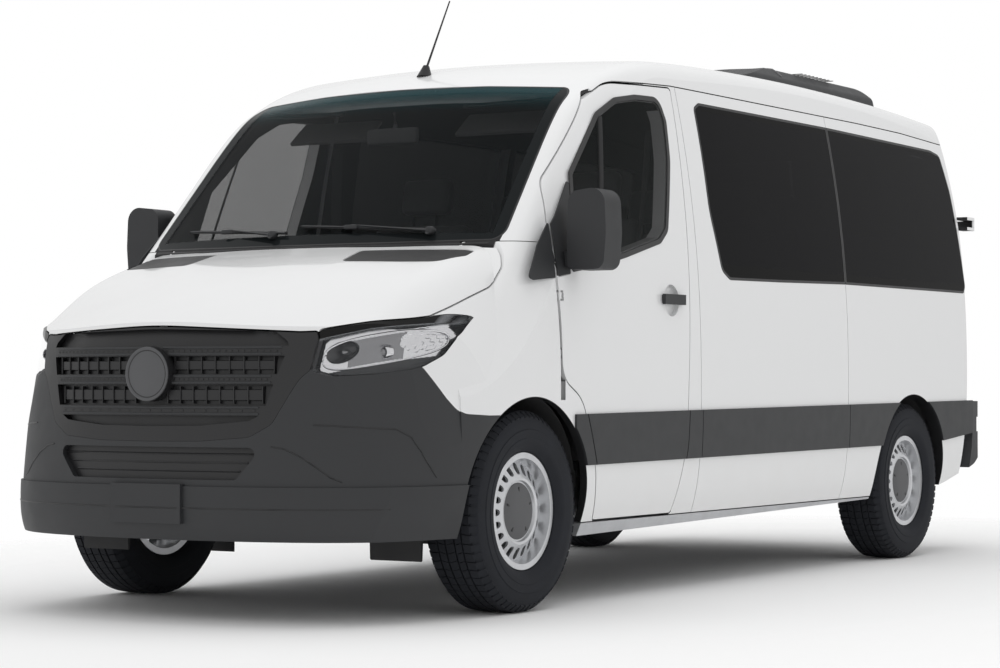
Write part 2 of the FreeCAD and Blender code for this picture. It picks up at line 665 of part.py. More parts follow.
grille_bar = nose_bar(GRILLE)
grille_depth = nose_block(24)
grille_skin = outer.common(grille_bar).cut(grille_depth)
grille_ring = grille_skin.cut(nose_bar(OPENING))
BAR_HEIGHTS = (980, 878, 766)
BAR_TALL = 36
bars = [grille_skin.common(box(-560, 560, FRONT_FACE - 50, FRONT_AXLE - 300, z - BAR_TALL / 2,
                               z + BAR_TALL / 2)) for z in BAR_HEIGHTS]
BOSS_HEIGHT = 898
boss = Part.makeCylinder(100, 40, Vector(0, FRONT_FACE + 10, BOSS_HEIGHT), Vector(0, 1, 0))
grille_back = outer.common(grille_bar).common(grille_depth).cut(nose_block(NOSE_WALL))
grille = joined([grille_ring] + bars + [boss.cut(grille_depth), grille_back])

lamp_skin = outer.common(nose_bar(LAMP, -1)).cut(nose_inner)
lamp = solids_of(lamp_skin)
publish("headlamps", Part.Compound([lamp, mirrored(lamp)]))

intake = outer.common(nose_bar(INTAKE)).common(grille_depth).cut(nose_block(NOSE_WALL))
publish("grilles", Part.Compound([biggest(grille), solids_of(intake)]))
print("nose made")


# Hood with its two vents

hood_room = side_prism(HOOD_ZONE, -wide, wide, -GAP)
hood = outer.common(hood_room).cut(hood_back).cut(nose_inner)
hood = hood.cut(nose_bar(GRILLE, GAP))
lamp_clear = nose_bar(LAMP, 5)
hood = hood.cut(lamp_clear).cut(mirrored(lamp_clear))
VENT = [
    (366, FRONT_AXLE - 365, 30), (345, FRONT_AXLE - 190, 15), (650, FRONT_AXLE - 118, 300),
    (785, FRONT_AXLE - 84, 8), (790, FRONT_AXLE - 150, 60), (745, FRONT_AXLE - 280, 60),
    (607, FRONT_AXLE - 321, 300)]
vent_bed = top_prism(VENT, 1000, 1700, 2).cut(hood_block(8))
vent = top_prism(VENT, 1000, 1700).common(hood_block(3)).cut(hood_block(7.7))
hood = hood.cut(top_prism(HOOD_BACK + [(1200, FAR, 0), (-1200, FAR, 0)], 0, 3000, 2 * GAP))
strap = side_prism(from_front([
    (-130, 1342, 0), (-130, 1364, 0), (-66, 1378, 0), (-20, 1403.8, 0), (-20, 1386.2, 0),
    (-52, 1360, 0), (-70, 1342, 0)]), HINGE_X - 6, HINGE_X + 6)
strap = strap.fuse(Part.makeCylinder(9, 12, HOOD_PIN - Vector(6, 0, 0), Vector(1, 0, 0)))
strap_bore = Part.makeCylinder(5.3, 12, HOOD_PIN - Vector(6, 0, 0), Vector(1, 0, 0))
hood = biggest(hood).fuse([strap, mirrored(strap)])
hood = hood.cut(strap_bore).cut(mirrored(strap_bore))
hood = hood.cut(vent_bed).cut(mirrored(vent_bed))
publish("hood", biggest(hood))
publish("hood_vents", Part.Compound([biggest(vent), mirrored(biggest(vent))]))
print("hood made")


# Front doors

door_core = skin_side.common(roof_block(SKIN))
door_outer = side_prism(DOOR, 700, wide, -GAP).common(outer).cut(door_core)
door_inner = side_prism(DOOR, 700, wide, -GAP - size("door_flange")).common(door_core)
door_inner = door_inner.cut(side_block(WALL))
door = door_outer.fuse(door_inner).cut(side_prism(ROOF_ZONE, 0, wide, GAP))
door = glazed(door, DOOR_WINDOW)
door_sail_bed = side_prism(DOOR_SAIL, 0, wide, size("glass_margin"))
door = door.cut(door_sail_bed.cut(side_block(size("glass_bed"))))
HANDLE_BACK = FRONT_AXLE + 1240
recess = Part.makeCylinder(66, 90, Vector(HALF_WIDTH - 28, HANDLE_BACK - 128, 1205),
                           Vector(1, 0, 0))
door = door.cut(recess)
door_brackets = []
for z in (980, 1200):
    notch = box(926, 998, hinge_pin.y - 30, hinge_pin.y + 26, z - 20, z + 20)
    pin = Part.makeCylinder(5, 44, hinge_pin + Vector(0, 0, z - 22), Vector(0, 0, 1))
    door = door.cut(notch).fuse(pin)
    arm = joined([
        box(940, 986, hinge_pin.y - 8, hinge_pin.y + 8, z - 13, z + 13),
        box(940, 956, hinge_pin.y - 70, hinge_pin.y + 8, z - 13, z + 13),
        box(940, 990, hinge_pin.y - 70, hinge_pin.y - 45, z - 13, z + 13)])
    eye = Part.makeCylinder(9, 26, hinge_pin + Vector(0, 0, z - 13), Vector(0, 0, 1))
    bore = Part.makeCylinder(5.3, 26, hinge_pin + Vector(0, 0, z - 13), Vector(0, 0, 1))
    door_brackets.append(biggest(arm.fuse(eye).cut(bore).cut(wing)))
door = solids_of(door)
pane = solids_of(side_glass(DOOR_WINDOW))
sail = solids_of(side_prism(DOOR_SAIL, 0, wide).common(side_block(0)).cut(side_block(5.7)))
MIRROR_OUT = size("mirror_reach")
MIRROR_Y = FRONT_AXLE + 310
mirror_head = front_prism([(1000, 1300, 30), (1004, 1600, 50), (MIRROR_OUT - 8, 1618, 60),
                           (MIRROR_OUT, 1440, 300), (MIRROR_OUT - 12, 1300, 40)],
                          MIRROR_Y - 66, MIRROR_Y + 62)
mirror_arm = box(880, 1030, MIRROR_Y - 40, MIRROR_Y + 40, 1312, 1372)
mirror = joined([mirror_head, mirror_arm.cut(side_block(-0.3))])
MOULDING = [
    (FRONT_AXLE + 300, 544, 0), (REAR_AXLE + 300, 568, 0), (REAR_AXLE + 900, 618, 0),
    (REAR_AXLE + 900, 776, 0), (FRONT_AXLE + 300, 744, 0)]
proud = side_block(-size("moulding_depth"))
band = side_prism(MOULDING, 0, wide).common(proud).cut(side_block(0))
door_moulding = solids_of(band.common(side_prism(DOOR, 0, wide, -GAP)))
grip = joined([
    box(HALF_WIDTH - 30, HALF_WIDTH - 2, HANDLE_BACK - 210, HANDLE_BACK - 190, 1192, 1226),
    box(HALF_WIDTH - 30, HALF_WIDTH - 2, HANDLE_BACK - 62, HANDLE_BACK - 42, 1192, 1226),
    box(HALF_WIDTH - 2, HALF_WIDTH + 12, HANDLE_BACK - 216, HANDLE_BACK - 36, 1188, 1230)])
grip = grip.cut(side_block(0))
for side, turn in (("left", lambda shape: shape), ("right", mirrored)):
    publish("front_door_" + side, turn(door))
    publish("door_glass_" + side, turn(pane))
    publish("mirror_" + side, turn(solids_of(mirror)))
    publish("door_trim_" + side, turn(Part.Compound([door_moulding, grip, sail])))
print("front doors made")

wall_band = band.cut(doorway).cut(front_arch)
wall_band = wall_band.cut(seams).cut(rear_arch).cut(box(0, wide, REAR_CORNER, FAR, 0, 3000))
wall_band = wall_band.cut(box(0, wide, B_LINE - 2.5, B_LINE + 2.5, 0, 3000))
wall_band = wall_band.cut(box(0, wide, GLASS_SEAM - 2.5, GLASS_SEAM + 2.5, 0, 3000))
mouldings = wall_band.Solids + [fixed_sail]
mouldings += [mirrored(solid) for solid in mouldings]


# Rear doors, hinged outside the corner posts

clear_side = side_block(WALL + GAP)
door_room = clear_side.common(mirrored(clear_side))
door_room = door_room.fuse(box(-wide, wide, REAR_CORNER + GAP, REAR_FACE + 200, SILL, 2300))
rear_door = shell.common(front_prism(REAR_DOOR, REAR_AXLE + 640, REAR_FACE + 200, -GAP))
rear_door = rear_door.common(door_room)
rear_bed = front_prism(REAR_WINDOW, REAR_AXLE + 500, REAR_FACE + 200, size("glass_margin"))
rear_bed = rear_bed.cut(tail_block(size("glass_bed")))
rear_door = rear_door.cut(rear_bed)
rear_door = rear_door.cut(front_prism(REAR_WINDOW, REAR_AXLE + 500, REAR_FACE + 200, -24))
rear_pane_door = front_prism(REAR_WINDOW, REAR_AXLE + 500, REAR_FACE + 200)
rear_pane_door = rear_pane_door.common(tail_block(0)).cut(tail_block(size("glass_thickness")))
REAR_PIN = Vector(980, REAR_AXLE + 842, 0)
UP = Vector(0, 0, 1)
straps = []
brackets = []
for z in (650, 1692):
    leaf = box(790, 980, REAR_PIN.y - 6, REAR_PIN.y + 6, z - 18, z + 18)
    foot = box(790, 850, REAR_AXLE + 700, REAR_PIN.y + 6, z - 18, z + 18)
    barrel = Part.makeCylinder(10, 36, REAR_PIN + Vector(0, 0, z - 18), UP)
    straps.append(joined([leaf, foot, barrel]).cut(tail_block(0)))
    for low, high in ((z - 34, z - 18.3), (z + 18.3, z + 34)):
        arm = box(930, 989, REAR_CORNER - 10, REAR_PIN.y, low, high)
        end = Part.makeCylinder(10, high - low, REAR_PIN + Vector(0, 0, low), UP)
        brackets.append(arm.cut(outer).fuse(end))
rear_door = solids_of(joined([rear_door] + straps))
brackets = [solid for part in brackets for solid in part.Solids if solid.Volume > 2000]
brackets += door_brackets
publish("door_hinges", Part.Compound(brackets + [mirrored(part) for part in brackets]))
for side, turn in (("left", lambda shape: shape), ("right", mirrored)):
    publish("rear_door_" + side, turn(rear_door))
    publish("rear_glass_" + side, turn(solids_of(rear_pane_door)))
print("rear doors made")


# Rear bumper, roof unit, antenna, wipers and mud flaps

bumper_plan = [(-1010, REAR_CORNER + 1, 0), (1010, REAR_CORNER + 1, 0), (1000, REAR_FACE, 110),
               (-1000, REAR_FACE, 110)]
rear_bar = top_prism(bumper_plan, 345, 538)
rear_corner = top_prism(bumper_plan, 345, 770).cut(box(-905, 905, 0, FAR, 538, 800))
proud_both = proud.common(mirrored(proud))
rear_bumper = rear_bar.fuse(rear_corner).common(proud_both).cut(outer)
hinge_pocket = box(900, wide, REAR_PIN.y - 17, FAR, 612, 688)
hinge_pocket = hinge_pocket.fuse(box(925, 994, REAR_CORNER - 20, REAR_PIN.y, 612, 688))
rear_bumper = rear_bumper.cut(hinge_pocket).cut(mirrored(hinge_pocket)).cut(tail_under)
publish("rear_bumper", solids_of(rear_bumper))

AIR_TOP = size("air_unit_height")
AIR_HALF = size("air_unit_half_width")
air_side = side_prism([
    (FRONT_AXLE + 2520, 2240, 0), (FRONT_AXLE + 2560, 2302, 30), (FRONT_AXLE + 2960, AIR_TOP - 8, 120),
    (FRONT_AXLE + 3120, AIR_TOP + 12, 200), (REAR_AXLE + 300, AIR_TOP + 6, 200),
    (REAR_AXLE + 428, AIR_TOP - 30, 60), (REAR_AXLE + 470, 2240, 0)], -AIR_HALF, AIR_HALF)
air_front = front_prism([
    (-AIR_HALF, 2230, 0), (-AIR_HALF + 8, 2330, 40), (-AIR_HALF + 70, AIR_TOP - 6, 60),
    (0, AIR_TOP + 14, 2000), (AIR_HALF - 70, AIR_TOP - 6, 60), (AIR_HALF - 8, 2330, 40),
    (AIR_HALF, 2230, 0)], FRONT_AXLE, REAR_FACE)
air_unit = solids_of(air_side.common(air_front).cut(outer))
publish("roof_air_unit", air_unit)

ANTENNA_Y = FRONT_AXLE + 775
antenna_base = Part.makeCone(34, 13, 52, Vector(0, ANTENNA_Y, 2152), Vector(0, 0.25, 1))
antenna_mast = Part.makeCone(5, 3, 360, Vector(0, ANTENNA_Y + 12, 2190), Vector(0, 0.51, 0.86))
publish("antenna", solids_of(antenna_base.fuse(antenna_mast).cut(outer)))

wiper_sheet = roof_block(-22).cut(roof_block(-8))
WIPER_HEIGHT = 1448
wipers = []
for pivot, tip in ((560, -20), (-140, -640)):
    arm = front_prism([
        (pivot - 10, WIPER_HEIGHT - 6, 0), (pivot + 10, WIPER_HEIGHT - 6, 0),
        (tip + 240, WIPER_HEIGHT + 24, 0), (tip + 232, WIPER_HEIGHT + 40, 0)],
        FRONT_AXLE - 400, FRONT_AXLE + 300)
    blade = front_prism([
        (tip, WIPER_HEIGHT + 26, 0), (tip + 560, WIPER_HEIGHT + 2, 0),
        (tip + 560, WIPER_HEIGHT + 14, 0), (tip, WIPER_HEIGHT + 40, 0)],
        FRONT_AXLE - 400, FRONT_AXLE + 300)
    post = Part.makeCylinder(12, 900, Vector(pivot, FRONT_AXLE - 400, WIPER_HEIGHT),
                             Vector(0, 1, 0))
    post = post.common(roof_block(-22)).cut(roof_block(0))
    wipers.append(biggest(joined([arm, blade]).common(wiper_sheet).fuse(post)))
publish("wipers", Part.Compound(wipers))

rail_strip = side_prism([
    (GLASS_SEAM + 20, 1176, 0), (REAR_CORNER - 60, 1176, 0), (REAR_CORNER - 60, 1204, 0),
    (GLASS_SEAM + 20, 1204, 0)], 0, wide)
mouldings.append(mirrored(solids_of(rail_strip.common(side_block(-6)).cut(side_block(0)))))
publish("side_mouldings", Part.Compound([solid for solid in mouldings if solid.Volume > 2000]))

print("outside made")


# Floor, bulkhead, sills and wheel housings inside the shell

cabin_side = side_block(WALL + 8)
cabin = inner.common(cabin_side).common(mirrored(cabin_side))
FLOOR_TOP = FLOOR + size("floor_thickness")
BULKHEAD = FRONT_AXLE + 462


def housing(axle, radius, x_low, x_high):
    """Half round wheel housing with a closed inner side."""
    ring_part = Part.makeCylinder(radius + 6, x_high - x_low, Vector(x_low, axle, AXLE_HEIGHT),
                                  Vector(1, 0, 0))
    hollow = Part.makeCylinder(radius, x_high - x_low, Vector(x_low + 6, axle, AXLE_HEIGHT),
                               Vector(1, 0, 0))
    shape = ring_part.cut(hollow).cut(box(0, wide, axle - 600, axle + 600, 0, 500))
    return solids_of(shape.common(cabin))


front_housing = housing(FRONT_AXLE, size("front_arch_radius") + 14, 500, 985)
rear_housing = housing(REAR_AXLE - 10, size("rear_arch_radius") + 12, 640, 985)
SEAT_GAP = 0.3
bulkhead = box(-1000, 1000, BULKHEAD, BULKHEAD + 30, FLOOR, 870)
shelf = box(-1000, 1000, FRONT_AXLE + 250, BULKHEAD + 30, 845, 870)
DASH_SEAT = 1295
firewall = box(-1000, 1000, FRONT_AXLE + 250, FRONT_AXLE + 280, 845, DASH_SEAT - SEAT_GAP)
toe_board = joined([bulkhead, shelf, firewall]).common(cabin)
floor = box(-1000, 1000, BULKHEAD + 30 + SEAT_GAP, REAR_AXLE + 745, FLOOR, FLOOR_TOP)
rear_round = Part.makeCylinder(size("rear_arch_radius") + 18 + SEAT_GAP, 362,
                               Vector(638, REAR_AXLE - 10, AXLE_HEIGHT), Vector(1, 0, 0))
floor = floor.common(cabin).cut(rear_round).cut(mirrored(rear_round))
floor_solids = [solids_of(toe_board), biggest(floor), front_housing, mirrored(front_housing),
                rear_housing, mirrored(rear_housing)]
floor_solid = Part.Compound(floor_solids)
publish("floor_pan", floor_solid)

sill_front = FRONT_AXLE + 436
sill_back = REAR_AXLE - 440
strip = outer.common(box(700, wide, sill_front, sill_back, 200, SILL - 5)).cut(inner)
sill_cut = side_prism([
    (sill_front - 10, 200, 0), (sill_front - 10, 266, 0), (sill_back + 10, 308, 0),
    (sill_back + 10, 200, 0)], 0, wide)
plate = inner.common(box(820, wide, sill_front, sill_back, 309, SILL - 5))
rocker = box(790, 850, sill_front + 30, sill_back, 309, FLOOR)
sill = solids_of(joined([strip, plate, rocker]).cut(sill_cut))
publish("sills", Part.Compound([sill, mirrored(sill)]))
flaps = []
for y, low, high in ((FRONT_AXLE + size("front_arch_radius") - 6, 150, 520),
                     (REAR_AXLE + size("rear_arch_radius") - 16, 160, 520)):
    flap = box(735, 985, y, y + 6, low, high)
    hanger = box(735, 880, y + 2, y + 40, high - 120, high)
    flap = flap.fuse(hanger).common(side_block(4)).cut(shell)
    flaps.append(solids_of(flap.cut(floor_solid)))
publish("mud_flaps", Part.Compound(flaps + [mirrored(flap) for flap in flaps]))
print("floor made")


# Pieces made from bound primitives

FRONT = "(Sizes.front_overhang - Sizes.overall_length / 2)"
REAR = "(Sizes.front_overhang - Sizes.overall_length / 2 + Sizes.wheelbase)"
RAIL_LOW = "(Sizes.floor_height - Sizes.rail_height)"


def brick(name, x, y, z):
    """A box between bound low and high faces on each axis."""
    solid = doc.addObject("Part::Box", name)
    for prop, base, (low, high) in (("Length", "x", x), ("Width", "y", y), ("Height", "z", z)):
        solid.setExpression(prop, "(%s) - (%s)" % (high, low))
        solid.setExpression("Placement.Base." + base, low)
    return solid


def rod(name, radius, length, place, turn):
    """A cylinder with bound size and start, turned from upright."""
    solid = doc.addObject("Part::Cylinder", name)
    solid.setExpression("Radius", radius)
    solid.setExpression("Height", length)
    solid.Placement.Rotation = turn
    for base, expression in zip("xyz", place):
        solid.setExpression("Placement.Base." + base, expression)
    return solid


ALONG_X = Rotation(Vector(0, 1, 0), 90)
ALONG_Y = Rotation(Vector(1, 0, 0), -90)
UPRIGHT = Rotation()


def fused(label, parts):
    whole = doc.addObject("Part::MultiFuse", label)
    whole.Label = label
    whole.Shapes = parts
    pieces.append(whole)
    return whole


def single(label, part):
    part.Label = label
    pieces.append(part)
    return part


rails = []
for name, low, high in (
        ("rail_left", "Sizes.rail_half_gap", "Sizes.rail_half_gap + Sizes.rail_width"),
        ("rail_right", "-Sizes.rail_half_gap - Sizes.rail_width", "-Sizes.rail_half_gap")):
    rails.append(brick(name, (low, high), (FRONT + " - 930", REAR + " + 745"),
                       (RAIL_LOW, "Sizes.floor_height")))
for number, y in enumerate((FRONT + " - 930", FRONT + " + 700", REAR + " - 700", REAR + " + 685")):
    rails.append(brick("cross_member_%d" % number,
                       ("-Sizes.rail_half_gap", "Sizes.rail_half_gap"), (y, y + " + 60"),
                       (RAIL_LOW + " + 10", "Sizes.floor_height - 10")))
for number, y in enumerate((FRONT + " + 800", FRONT + " + 1900", REAR + " - 700")):
    for side_name, low, high in (("left", "Sizes.rail_half_gap + Sizes.rail_width", "790"),
                                 ("right", "-790", "-Sizes.rail_half_gap - Sizes.rail_width")):
        rails.append(brick("outrigger_%s_%d" % (side_name, number), (low, high),
                           (y, y + " + 60"), (RAIL_LOW + " + 40", "Sizes.floor_height")))
lug = brick("tow_lug", ("292", "312"), (REAR + " + 680", REAR + " + 742"),
            ("265", RAIL_LOW + " + 20"))
lug_hole = rod("tow_eye", "12.5", "40", ("282", REAR + " + 711", "295"), ALONG_X)
tow_lug = doc.addObject("Part::Cut", "tow_lug_drilled")
tow_lug.Base = lug
tow_lug.Tool = lug_hole
fused("chassis_rails", rails + [tow_lug])

subframe = [
    brick("subframe_beam", ("-440", "440"), (FRONT + " - 90", FRONT + " + 90"), ("300", "360")),
    brick("subframe_left", ("380", "450"), (FRONT + " - 60", FRONT + " + 60"), ("360", RAIL_LOW)),
    brick("subframe_right", ("-450", "-380"), (FRONT + " - 60", FRONT + " + 60"),
          ("360", RAIL_LOW)),
]
for side_name, near, far, damper, pin in (("left", "440", "790", "670", "Sizes.kingpin_half_track"),
                                          ("right", "-790", "-440", "-670",
                                           "-Sizes.kingpin_half_track")):
    subframe.append(brick("arm_" + side_name, (near, far), (FRONT + " - 38", FRONT + " + 38"),
                          ("Sizes.axle_height - 134", "Sizes.axle_height - 108")))
    subframe.append(brick("arm_link_" + side_name,
                          ("430" if side_name == "left" else "-470",
                           "470" if side_name == "left" else "-430"),
                          (FRONT + " - 38", FRONT + " + 38"), ("Sizes.axle_height - 134", "310")))
    subframe.append(rod("damper_" + side_name, "26", "552.9", (damper, FRONT,
                        "Sizes.axle_height - 110"), UPRIGHT))
    subframe.append(rod("ball_" + side_name, "14", "41.5", (pin, FRONT, "Sizes.axle_height - 134"),
                        UPRIGHT))
fused("front_suspension", subframe)

single("engine_block", brick("engine", ("-250", "250"), (FRONT + " - 620", FRONT + " + 60"),
                             ("360", "930")))
single("fuel_tank", brick("tank", ("-760", "-470"), (FRONT + " + 1000", FRONT + " + 1800"),
                          ("300", "Sizes.floor_height")))
fused("prop_shaft", [
    brick("gearbox", ("-130", "130"), (FRONT + " + 60", FRONT + " + 640"), ("400", "540")),
    rod("shaft", "38", REAR + " - 140.3 - (" + FRONT + " + 640)", ("0", FRONT + " + 640", "415"),
        ALONG_Y)])
fused("exhaust", [
    rod("pipe_front", "28", REAR + " - 1500 - (" + FRONT + " + 640)",
        ("230", FRONT + " + 640", "400"), ALONG_Y),
    brick("silencer", ("160", "340"), (REAR + " - 1500", REAR + " - 900"), ("320", RAIL_LOW)),
    brick("hanger", ("240", "270"), (REAR + " - 1230", REAR + " - 1200"),
          (RAIL_LOW, "Sizes.floor_height"))])
axle = [
    rod("axle_tube", "42", "1600", ("-800", REAR, "Sizes.axle_height"), ALONG_X),
    rod("differential", "140", "200", ("-100", REAR, "Sizes.axle_height"), ALONG_X),
]
for side_name, start in (("left", "Sizes.track_width / 2 - 110"),
                         ("right", "-Sizes.track_width / 2 + 35")):
    axle.append(rod("brake_" + side_name, "150", "75", (start, REAR, "Sizes.axle_height"), ALONG_X))
axle.append(rod("hub_left", "52", "100", ("Sizes.track_width / 2 - 64.3", REAR,
                "Sizes.axle_height"), ALONG_X))
axle.append(rod("hub_right", "52", "100", ("-Sizes.track_width / 2 - 35.7", REAR,
                "Sizes.axle_height"), ALONG_X))
springs = []
for side_name, low, high in (("left", "500", "570"), ("right", "-570", "-500")):
    leaf = [
        brick("leaf_mid_" + side_name, (low, high), (REAR + " - 320", REAR + " + 320"),
              ("Sizes.axle_height + 30", "Sizes.axle_height + 82")),
        brick("leaf_front_" + side_name, (low, high), (REAR + " - 640", REAR + " - 300"),
              ("Sizes.axle_height + 60", "Sizes.axle_height + 90")),
        brick("leaf_back_" + side_name, (low, high), (REAR + " + 300", REAR + " + 640"),
              ("Sizes.axle_height + 60", "Sizes.axle_height + 90")),
        brick("hanger_front_" + side_name, (low, high), (REAR + " - 640", REAR + " - 590"),
              ("Sizes.axle_height + 60", "Sizes.floor_height")),
        brick("hanger_back_" + side_name, (low, high), (REAR + " + 590", REAR + " + 640"),
              ("Sizes.axle_height + 60", "Sizes.floor_height")),
    ]
    springs += leaf
fused("rear_axle", axle + springs)
fused("spare_wheel", [
    rod("spare", "300", "190", ("0", REAR + " + 447", RAIL_LOW + " - 190"), UPRIGHT),
    brick("spare_carrier", ("-60", "60"), (REAR + " + 417", REAR + " + 477"),
          (RAIL_LOW, "Sizes.floor_height"))])
print("underside made")


# Wheels as turned sections about their own axle

def turned(name, points, parent_place, mirror):
    """A body turned about its own X axis from an (x, radius) outline."""
    body = doc.addObject("PartDesign::Body", name)
    doc.recompute()
    plane = [item for item in body.Origin.OriginFeatures if item.Role == "XZ_Plane"][0]
    sketch = body.newObject("Sketcher::SketchObject", name + "_section")
    sketch.AttachmentSupport = [(plane, "")]
    sketch.MapMode = "FlatFace"
    count = len(points)
    for i in range(count):
        start = Vector(mirror * points[i][0], points[i][1], 0)
        end = Vector(mirror * points[(i + 1) % count][0], points[(i + 1) % count][1], 0)
        sketch.addGeometry(Part.LineSegment(start, end), False)
    doc.recompute()
    turn = body.newObject("PartDesign::Revolution", name + "_turned")
    turn.Profile = sketch
    turn.ReferenceAxis = (sketch, ["H_Axis"])
    turn.Angle = 360
    doc.recompute()
    for base, expression in zip("xyz", parent_place):
        body.setExpression("Placement.Base." + base, expression)
    return body


BEAD = size("rim_radius")
TREAD = size("tyre_radius")
HALF_TYRE = size("tyre_width") / 2
HALF_RIM = size("rim_width") / 2
tyre_section = [
    (-HALF_RIM + 8.5, BEAD + 0.2), (-HALF_RIM + 8.5, BEAD + 19), (-HALF_RIM - 5, BEAD + 23),
    (-HALF_TYRE + 5, BEAD + 47), (-HALF_TYRE, BEAD + 87), (-HALF_TYRE + 6, BEAD + 130),
    (-HALF_TYRE + 16, TREAD - 22), (-HALF_TYRE + 34, TREAD - 6), (-50, TREAD), (50, TREAD),
    (HALF_TYRE - 34, TREAD - 6), (HALF_TYRE - 16, TREAD - 22), (HALF_TYRE - 6, BEAD + 130),
    (HALF_TYRE, BEAD + 87), (HALF_TYRE - 5, BEAD + 47), (HALF_RIM + 5, BEAD + 23),
    (HALF_RIM - 8.5, BEAD + 19), (HALF_RIM - 8.5, BEAD + 0.2)]
rim_section = [
    (-HALF_RIM, BEAD - 8), (-HALF_RIM, BEAD + 18), (-HALF_RIM + 8, BEAD + 18),
    (-HALF_RIM + 8, BEAD), (HALF_RIM - 8, BEAD), (HALF_RIM - 8, BEAD + 18), (HALF_RIM, BEAD + 18),
    (HALF_RIM, BEAD - 4), (66, BEAD - 10), (50, BEAD - 14), (62, BEAD - 40), (78, 136),
    (83, 126), (80, 116), (70, 112), (70, 0), (36, 0), (36, 72), (58, 104), (70, 128), (66, 138),
    (52, BEAD - 40), (38, BEAD - 14), (30, BEAD - 8)]
HOLE_HALF = 13
HOLE_REACH = 160
HOLE_STRAIGHT = 9
AXLES = {"front": FRONT, "rear": REAR}
for axle_name, axle_y in AXLES.items():
    for side_name, sign in (("left", 1), ("right", -1)):
        place = ("%d * Sizes.track_width / 2" % sign, axle_y, "Sizes.axle_height")
        name = "_%s_%s" % (axle_name, side_name)
        single("tyre" + name, turned("tyre" + name, tyre_section, place, sign))
        rim = turned("rim" + name, rim_section, place, sign)
        plane = [item for item in rim.Origin.OriginFeatures if item.Role == "YZ_Plane"][0]
        hole = rim.newObject("Sketcher::SketchObject", "hole" + name)
        hole.AttachmentSupport = [(plane, "")]
        hole.MapMode = "FlatFace"
        top = HOLE_REACH + HOLE_STRAIGHT
        low = HOLE_REACH - HOLE_STRAIGHT
        hole.addGeometry(Part.ArcOfCircle(Part.Circle(Vector(0, top, 0), Vector(0, 0, 1),
                                                      HOLE_HALF), 0, math.pi), False)
        hole.addGeometry(Part.LineSegment(Vector(-HOLE_HALF, top, 0), Vector(-HOLE_HALF, low, 0)),
                         False)
        hole.addGeometry(Part.ArcOfCircle(Part.Circle(Vector(0, low, 0), Vector(0, 0, 1),
                                                      HOLE_HALF), math.pi, 2 * math.pi), False)
        hole.addGeometry(Part.LineSegment(Vector(HOLE_HALF, low, 0), Vector(HOLE_HALF, top, 0)),
                         False)
        doc.recompute()
        cut = rim.newObject("PartDesign::Pocket", "hole_cut" + name)
        cut.Profile = hole
        cut.Midplane = True
        cut.Type = 0
        cut.Length = 300
        doc.recompute()
        pattern = rim.newObject("PartDesign::PolarPattern", "holes" + name)
        pattern.Originals = [cut]
        pattern.Axis = (hole, ["N_Axis"])
        pattern.Angle = 360
        pattern.Occurrences = int(size("rim_holes"))
        rim.Tip = pattern
        doc.recompute()
        single("rim" + name, rim)
for side_name, sign in (("left", 1), ("right", -1)):
    centre = "%d * Sizes.kingpin_half_track" % sign
    low, high = ("- 62", "+ 8") if sign > 0 else ("- 8", "+ 62")
    upright = brick("upright_" + side_name, (centre + low, centre + high),
                    (FRONT + " - 44", FRONT + " + 44"),
                    ("Sizes.axle_height - 92", "Sizes.axle_height + 88"))
    start = "Sizes.kingpin_half_track" if sign > 0 else "-Sizes.track_width / 2 - 35.7"
    hub = rod("hub_front_" + side_name, "52",
              "Sizes.track_width / 2 + 35.7 - Sizes.kingpin_half_track",
              (start, FRONT, "Sizes.axle_height"), ALONG_X)
    disc = rod("disc_" + side_name, "145", "24",
               (centre + (" + 20" if sign > 0 else " - 44"), FRONT, "Sizes.axle_height"), ALONG_X)
    fused("knuckle_" + side_name, [upright, hub, disc])
print("wheels made")


# Cabin: dashboard, seats, benches, steering wheel and mirror

dash = side_prism(from_front([
    (60, 1325, 20), (480, 1330, 40), (560, 1290, 60), (590, 1180, 40), (520, 960, 60),
    (290, 930, 10), (290, DASH_SEAT, 5), (60, DASH_SEAT, 5)]), -960, 960)
dash = dash.common(cabin)
STEER_X = size("seat_half_gap")
STEER = Vector(STEER_X, FRONT_AXLE + 700, 1200)
STEER_AXIS = Vector(0, 0.62, 0.785)
dash_column = Part.makeCylinder(32, 230, STEER - STEER_AXIS * 262, STEER_AXIS)
publish("dashboard", solids_of(dash.fuse(dash_column)))
wheel_ring = Part.makeTorus(size("steering_wheel_radius"), 15, STEER, STEER_AXIS)
wheel_hub = Part.makeCylinder(62, 50, STEER - STEER_AXIS * 31.7, STEER_AXIS)
across = STEER_AXIS.cross(Vector(1, 0, 0))
spokes = []
for direction in (Vector(1, 0, 0), Vector(-1, 0, 0), across * -1 if across.z > 0 else across):
    spoke = Part.makeCylinder(12, size("steering_wheel_radius") - 4, STEER - STEER_AXIS * 8, direction)
    spokes.append(spoke)
publish("steering_wheel", solids_of(joined([wheel_ring, wheel_hub] + spokes)))


def soft_box(x_low, x_high, y_low, y_high, z_low, z_high, radius):
    block = box(x_low, x_high, y_low, y_high, z_low, z_high)
    return block.makeFillet(radius, block.Edges)


def seat(x, y, width, head):
    """Cushion, back and head pad of one seat that faces forward."""
    half = width / 2
    cushion = soft_box(x - half, x + half, y, y + 470, 905, 1015, 40)
    back = soft_box(x - half, x + half, 0, 105, 0, 590, 38)
    lean = FreeCAD.Placement(Vector(0, y + 476, 1003), Rotation(Vector(1, 0, 0), -12))
    back.Placement = lean
    pads = [cushion, back]
    if head:
        rest = soft_box(x - 130, x + 130, 8, 88, 640, 810, 34)
        rest.Placement = lean
        pads.append(rest)
    return pads


PEDESTAL_REACH = 630


